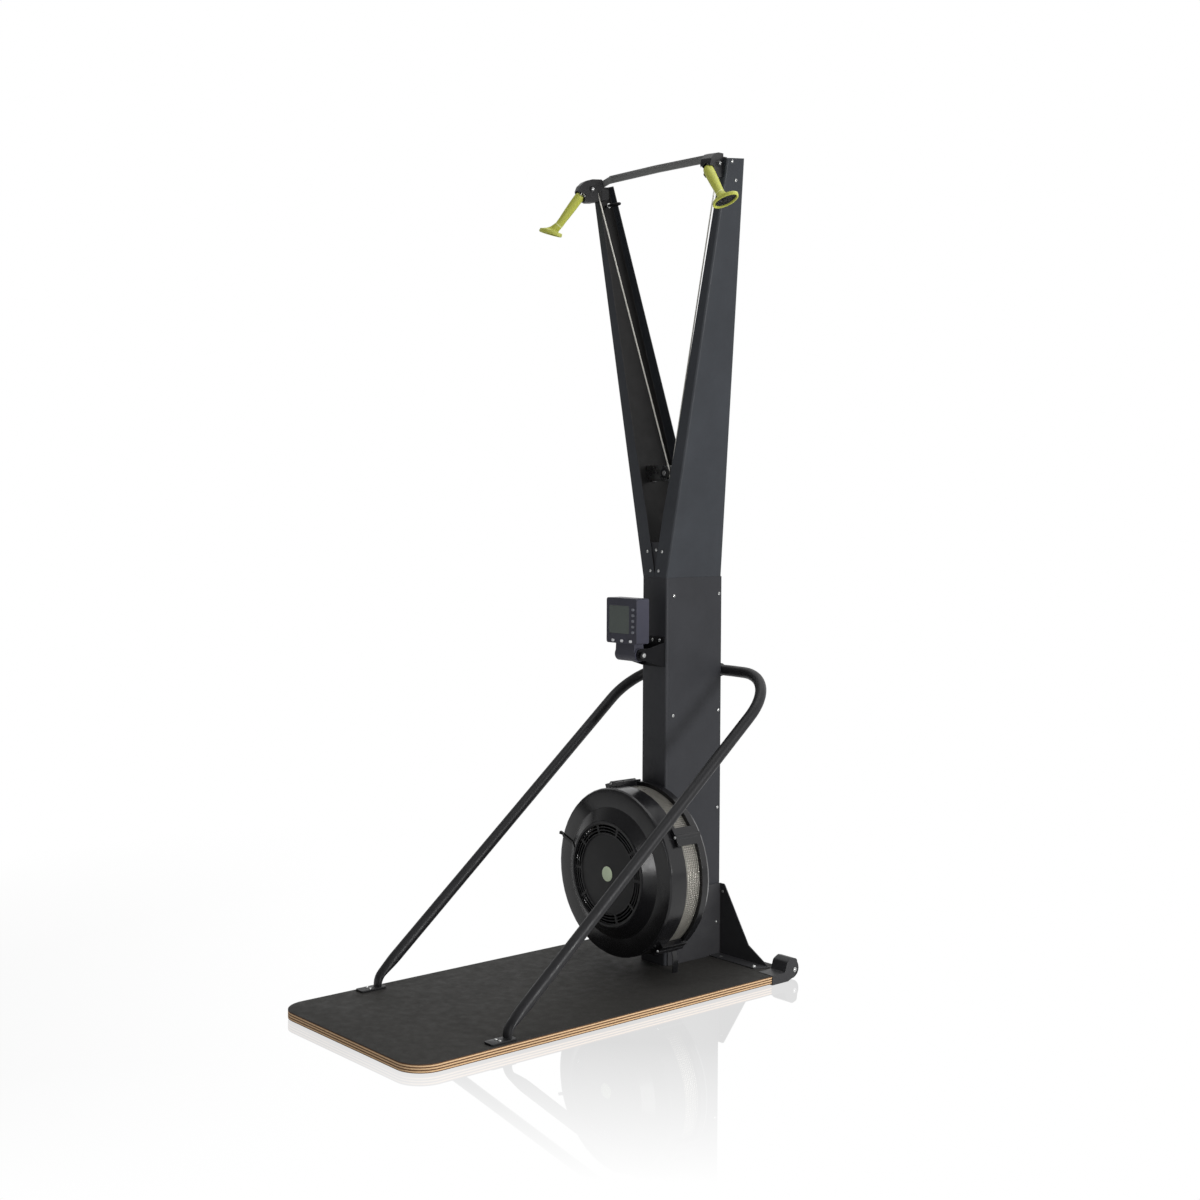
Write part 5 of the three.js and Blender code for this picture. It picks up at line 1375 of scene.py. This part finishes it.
def clamp_screws(machine: Machine) -> list[Fastener]:
    """The screw in each clamp that bridges the outlet band, found from the front."""
    low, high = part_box("outlet_band")
    centre = machine.middle("outlet_band") - machine.foot()
    angle = np.radians(CLAMP_ANGLES)
    radius = (high.x - low.x) / 2 + CLAMP_SCREW_RISE
    places = centre * [1, 0, 1] + radius * upright_arc(angle) + [0, CLAMP_SCREW_START, 0]
    return [Fastener(as_point(place), (0, 1, 0)) for place in places]


def fastener_groups() -> dict[str, list[Fastener]]:
    """The fasteners that are set out in millimetres from the column's foot."""
    back, side, down = (0, 1, 0), (-1, 0, 0), (0, 0, -1)
    yoke = [Fastener(mm(x, -60, z), back) for x, z in
            ((-28, 1114), (3, 1118), (30, 1114), (-16, 1062), (16, 1062))]
    covers = [screw for y, z in ((28, 996), (196, 997), (27, 674), (196, 677), (195, 408), (191.5, 91))
              for screw in mirrored_pair(mm(90, y, z), side)]
    flanges = [screw for x, y in ((80, 183), (210, 178))
               for screw in mirrored_pair(mm(x, y, 60), down, Head.LARGE)]
    wings = [*mirrored_pair(mm(61, 260, 173), (0, -1, 0)), *mirrored_pair(mm(61, 150, 175), back)]
    feet = [screw for x in (265.5, 281) for screw in mirrored_pair(mm(x, -728, 40), down)]
    arms = [screw for y, z in ((17, 2114), (39.5, 2070)) for screw in mirrored_pair(mm(320, y, z), side)]
    wheels = mirrored_pair(mm(360, 240, 2.7), side, Head.LARGE)
    monitor = [Fastener(mm(x, -30, z), back) for x, z in ((-2, 877), (25, 877), (32, 817))]
    return {
        "column_yoke": yoke, "column_covers": covers, "base_flanges": flanges, "base_wings": wings,
        "brace_feet": feet, "arm_tops": arms, "monitor_bracket": monitor, "wheel_bolts": wheels,
    }


@dataclass
class SmallTrim:
    """The tilt knob of the monitor and the capped bolt that comes through each arm's outer wall."""

    machine: Machine
    knob_radius: float = 9 * MM
    knob_length: float = 9 * MM
    knob_lobes: int = 12
    cap_share: float = 0.62
    cap_length: float = 1.6 * MM
    cap_sink: float = 0.2 * MM
    bolt_start: Point = (225 * MM, 39.5 * MM, 2070 * MM)
    bolt_radius: float = 5 * MM
    bolt_length: float = 61 * MM
    nut_radius: float = 7.5 * MM
    nut_length: float = 7 * MM
    nut_step: float = 9 * MM
    nut_lobes: int = 6
    turned_profile: tuple[tuple[float, float], ...] = (
        (0, 0.5), (0.02, 0.62), (0.3, 0.62), (0.32, 0.93), (0.4, 1.0), (0.7, 1.0), (0.86, 0.97),
        (0.95, 0.86), (1.0, 0.7), (1.0, 0.2),
    )
    lobe_depth: float = 0.06
    lobe_from: float = 0.9
    sides: int = 72

    def fluted(self, seat: Array, out: Array, radius: float, length: float, lobes: int) -> Array:
        """Rings of a turned knob: its radius swells and waves round with the lobes.

        Args:
            seat: Middle of its foot.
            out: The way it points.
            radius: Its widest radius.
            length: Its length.
            lobes: Waves round it, or 0 for a plain one.

        Returns:
            Rings of points.
        """
        across, up = turned_about(out)
        angle = angles_round(self.sides)
        share, swell = np.array(self.turned_profile).T[..., None]
        wave = 1 - self.lobe_depth * (0.5 - 0.5 * np.cos(angle * lobes)) * (swell > self.lobe_from)
        ring = (radius * swell * wave)[..., None] * spun(across, up, angle)
        return seat + ring + (length * share)[..., None] * out

    def build(self) -> None:
        """Makes the knob and the bolts."""
        shelf = self.machine.shelf
        low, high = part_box("monitor_bracket")
        pivot = self.machine.middle("monitor_bracket")
        pivot[0] = high.x
        pivot[1] = low.y + PIVOT_DEPTH
        pivot[2] = low.z + PIVOT_RISE
        out = np.array([1.0, 0, 0])
        knob = Surfaces().closed_rings(
            self.fluted(pivot, out, self.knob_radius, self.knob_length, self.knob_lobes)).piece("tilt_knob")
        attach(shelf.dress(knob, Paint.MOULDED), "frame")
        cap_seat = pivot + out * (self.knob_length - self.cap_sink)
        cap_radius = self.knob_radius * self.cap_share
        cap = Surfaces().closed_rings(
            self.fluted(cap_seat, out, cap_radius, self.cap_length, 0)).piece("tilt_knob_cap")
        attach(shelf.dress(cap, Paint.ZINC), "frame")
        for side, mirror in SIDES.items():
            across, *rest = self.bolt_start
            way = (mirror, 0, 0)
            landed = Fasteners(self.machine).seat(Fastener((across * mirror, *rest), way))
            if landed is None:
                continue
            wall, inward = landed[0], -np.array(way, float)
            shank = self.fluted(wall, inward, self.bolt_radius, self.bolt_length, 0)
            seat = wall + inward * self.nut_step
            nut = self.fluted(seat, inward, self.nut_radius, self.nut_length, self.nut_lobes)
            bolt = Surfaces().closed_rings(shank).piece(f"arm_bolt_{side}")
            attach(shelf.dress(bolt, Paint.MOULDED), "frame")
            held = Surfaces().closed_rings(nut).piece(f"arm_nut_{side}")
            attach(shelf.dress(held, Paint.ZINC), "frame")
        log.info("small trim")


@dataclass(frozen=True)
class Lamp:
    """A soft rectangular lamp turned towards a target, for all light or for gloss alone."""

    name: str
    place: Point
    target: Point
    size: tuple[float, float]
    power: float
    only_gloss: bool = False


@dataclass
class Studio:
    """Camera, lamps, white world and floor."""

    place: Point = (3.3421, -2.6890, 1.2699)
    yaw: float = 49.327
    pitch: float = 2.293
    roll: float = 0.275
    lens: float = 50.55
    clip: tuple[float, float] = (0.1, 200)
    shift: tuple[float, float] = (-0.00475, -0.0250)
    floor_half: float = 40.0
    mirror_reach: tuple[float, float] = (3.11, 3.92)
    mirror_patch: tuple[float, float] = (2.6, 1.5)
    mirror_share: float = 0.28
    bounce_reach: tuple[float, float] = (7.0, 1.0)
    bounce: float = 0.33
    mirror_roughness: float = 0.02
    floor_white: Colour = (0.85, 0.85, 0.85)
    bright_side: Point = (0.10, 1.0, 0.10)
    dimming: tuple[float, float] = (-0.5, 0.45)
    room: tuple[float, float] = (0.18, 1.0)
    lamps: tuple[Lamp, ...] = (
        Lamp("key", (4.4, 0.35, 1.05), (0, 0.4, 0.95), (0.7, 0.9), 95),
        Lamp("front", (1.1, -4.4, 1.3), (0, 0.2, 0.9), (0.7, 2.2), 45, only_gloss=True),
        Lamp("top", (0.3, 0.3, 4.6), (0, 0, 0), (3.0, 3.0), 45),
    )
    not_lit: bpy.types.Collection | None = None

    def camera(self) -> None:
        """Sets the camera by its place, yaw, pitch and roll."""
        yaw, pitch, roll = (math.radians(value) for value in (self.yaw, self.pitch, self.roll))
        ahead = Vector((-math.sin(yaw) * math.cos(pitch), math.cos(yaw) * math.cos(pitch), -math.sin(pitch)))
        right = Vector((math.cos(yaw), math.sin(yaw), 0))
        up = right.cross(ahead)
        x = right * math.cos(roll) + up * math.sin(roll)
        y = up * math.cos(roll) - right * math.sin(roll)
        turned = Matrix((x, y, -ahead)).transposed().to_4x4()
        data = bpy.data.cameras.new("studio_camera")
        data.lens = self.lens
        data.shift_x, data.shift_y = self.shift
        data.clip_start, data.clip_end = self.clip
        camera = bpy.data.objects.new("studio_camera", data)
        camera.matrix_world = Matrix.Translation(self.place) @ turned
        bpy.context.scene.collection.objects.link(camera)
        bpy.context.scene.camera = camera

    def hang(self, lamp: Lamp) -> None:
        """Hangs one lamp, which lights everything but the floor."""
        data = bpy.data.lights.new(lamp.name, "AREA")
        data.shape = "RECTANGLE"
        data.size, data.size_y = lamp.size
        data.energy = lamp.power
        hung = bpy.data.objects.new(lamp.name, data)
        hung.location = lamp.place
        hung.visible_diffuse = not lamp.only_gloss
        ahead = Vector(lamp.target) - Vector(lamp.place)
        hung.rotation_euler = ahead.to_track_quat("-Z", "Y").to_euler()
        hung.light_linking.receiver_collection = self.not_lit
        bpy.context.scene.collection.objects.link(hung)

    def world(self) -> None:
        """A white backdrop to the camera; for light and gloss a room that dims away from its bright side."""
        world = bpy.data.worlds.new("white_studio")
        world.use_nodes = True
        tree = world.node_tree
        tree.nodes.clear()
        ray = tree.nodes.new("ShaderNodeNewGeometry")
        way = tree.nodes.new("ShaderNodeVectorMath")
        way.operation = "DOT_PRODUCT"
        way.inputs[1].default_value = self.bright_side
        tree.links.new(ray.outputs["Position"], way.inputs[0])
        dim = tree.nodes.new("ShaderNodeMapRange")
        for socket, value in zip(list(dim.inputs)[1:5], (*self.dimming, *self.room)):
            socket.default_value = value
        tree.links.new(way.outputs["Value"], dim.inputs[0])
        path = tree.nodes.new("ShaderNodeLightPath")
        strength = tree.nodes.new("ShaderNodeMath")
        strength.operation = "MAXIMUM"
        tree.links.new(dim.outputs[0], strength.inputs[0])
        tree.links.new(path.outputs["Is Camera Ray"], strength.inputs[1])
        backdrop = tree.nodes.new("ShaderNodeBackground")
        backdrop.inputs["Color"].default_value = (1, 1, 1, 1)
        tree.links.new(strength.outputs[0], backdrop.inputs["Strength"])
        out = tree.nodes.new("ShaderNodeOutputWorld")
        tree.links.new(backdrop.outputs[0], out.inputs[0])
        bpy.context.scene.world = world

    def floor(self) -> None:
        """A white floor that mirrors the machine faintly, less and less towards the camera.

        No lamp lights it, so none shows in its mirror; a glow that only the machine sees stands for
        their light thrown back up.
        """
        steps = np.linspace(-self.floor_half, self.floor_half, 3)
        u, v = np.meshgrid(steps, steps, indexing="ij")
        points = np.stack([u, v, np.zeros_like(u)], -1).reshape(-1, 3)
        floor = make_piece("floor", points, [grid_faces(3, 3, False)])
        recipe = Recipe("studio_floor")
        recipe.tree.nodes.remove(recipe.shader)
        fade = recipe.between(recipe.distance((self.place[0], self.place[1], 0)), *self.mirror_reach)
        near = recipe.between(recipe.distance((0, 0, 0)), *self.mirror_patch)
        share = recipe.sums("MULTIPLY", recipe.sums("MULTIPLY", fade, near), self.mirror_share)
        glow = recipe.add("ShaderNodeEmission")
        matt = recipe.add("ShaderNodeBsdfDiffuse")
        recipe.feed(matt.inputs["Color"], self.floor_white)
        thrown = recipe.add("ShaderNodeEmission")
        lit = recipe.between(recipe.distance((0, 0, 0)), *self.bounce_reach)
        recipe.link(recipe.sums("MULTIPLY", lit, self.bounce), thrown.inputs["Strength"])
        room = recipe.add("ShaderNodeAddShader")
        recipe.link(matt.outputs[0], room.inputs[0])
        recipe.link(thrown.outputs[0], room.inputs[1])
        seen = recipe.add("ShaderNodeLightPath").outputs["Is Camera Ray"]
        white = recipe.add("ShaderNodeMixShader")
        recipe.link(seen, white.inputs[0])
        recipe.link(room.outputs[0], white.inputs[1])
        recipe.link(glow.outputs[0], white.inputs[2])
        mirror = recipe.add("ShaderNodeBsdfGlossy")
        mirror.inputs["Color"].default_value = (1, 1, 1, 1)
        mirror.inputs["Roughness"].default_value = self.mirror_roughness
        both = recipe.add("ShaderNodeMixShader")
        recipe.link(share, both.inputs[0])
        recipe.link(white.outputs[0], both.inputs[1])
        recipe.link(mirror.outputs[0], both.inputs[2])
        recipe.link(both.outputs[0], recipe.output.inputs["Surface"])
        floor.data.materials.append(recipe.material)
        self.not_lit = bpy.data.collections.new("not_lit_by_lamps")
        self.not_lit.objects.link(floor)
        self.not_lit.collection_objects[0].light_linking.link_state = "EXCLUDE"

    def build(self) -> None:
        """Makes the whole studio."""
        self.camera()
        self.world()
        self.floor()
        for lamp in self.lamps:
            self.hang(lamp)
        log.info("studio")


def main() -> None:
    """Builds the studio and the machine's looks in order."""
    logging.basicConfig(level=logging.INFO, format="%(message)s")
    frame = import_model()
    bpy.context.scene.view_settings.view_transform = "Standard"
    machine = Machine(frame)
    Fasteners(machine).build({
        **fastener_groups(), "fan_clamps": clamp_screws(machine),
        "axle_washers": axle_heads(machine, Head.WASHER), "axle_screws": axle_heads(machine, Head.BUTTON),
    }, dark=("axle_washers",))
    Studio().build()
    machine.dress_nodes()
    handles = Handles(machine)
    Cords(machine).build(handles)
    handles.build()
    OutletBand(machine).build()
    Deck(machine).build()
    Braces(machine).build()
    SmallTrim(machine).build()


if __name__ == "__main__":
    main()
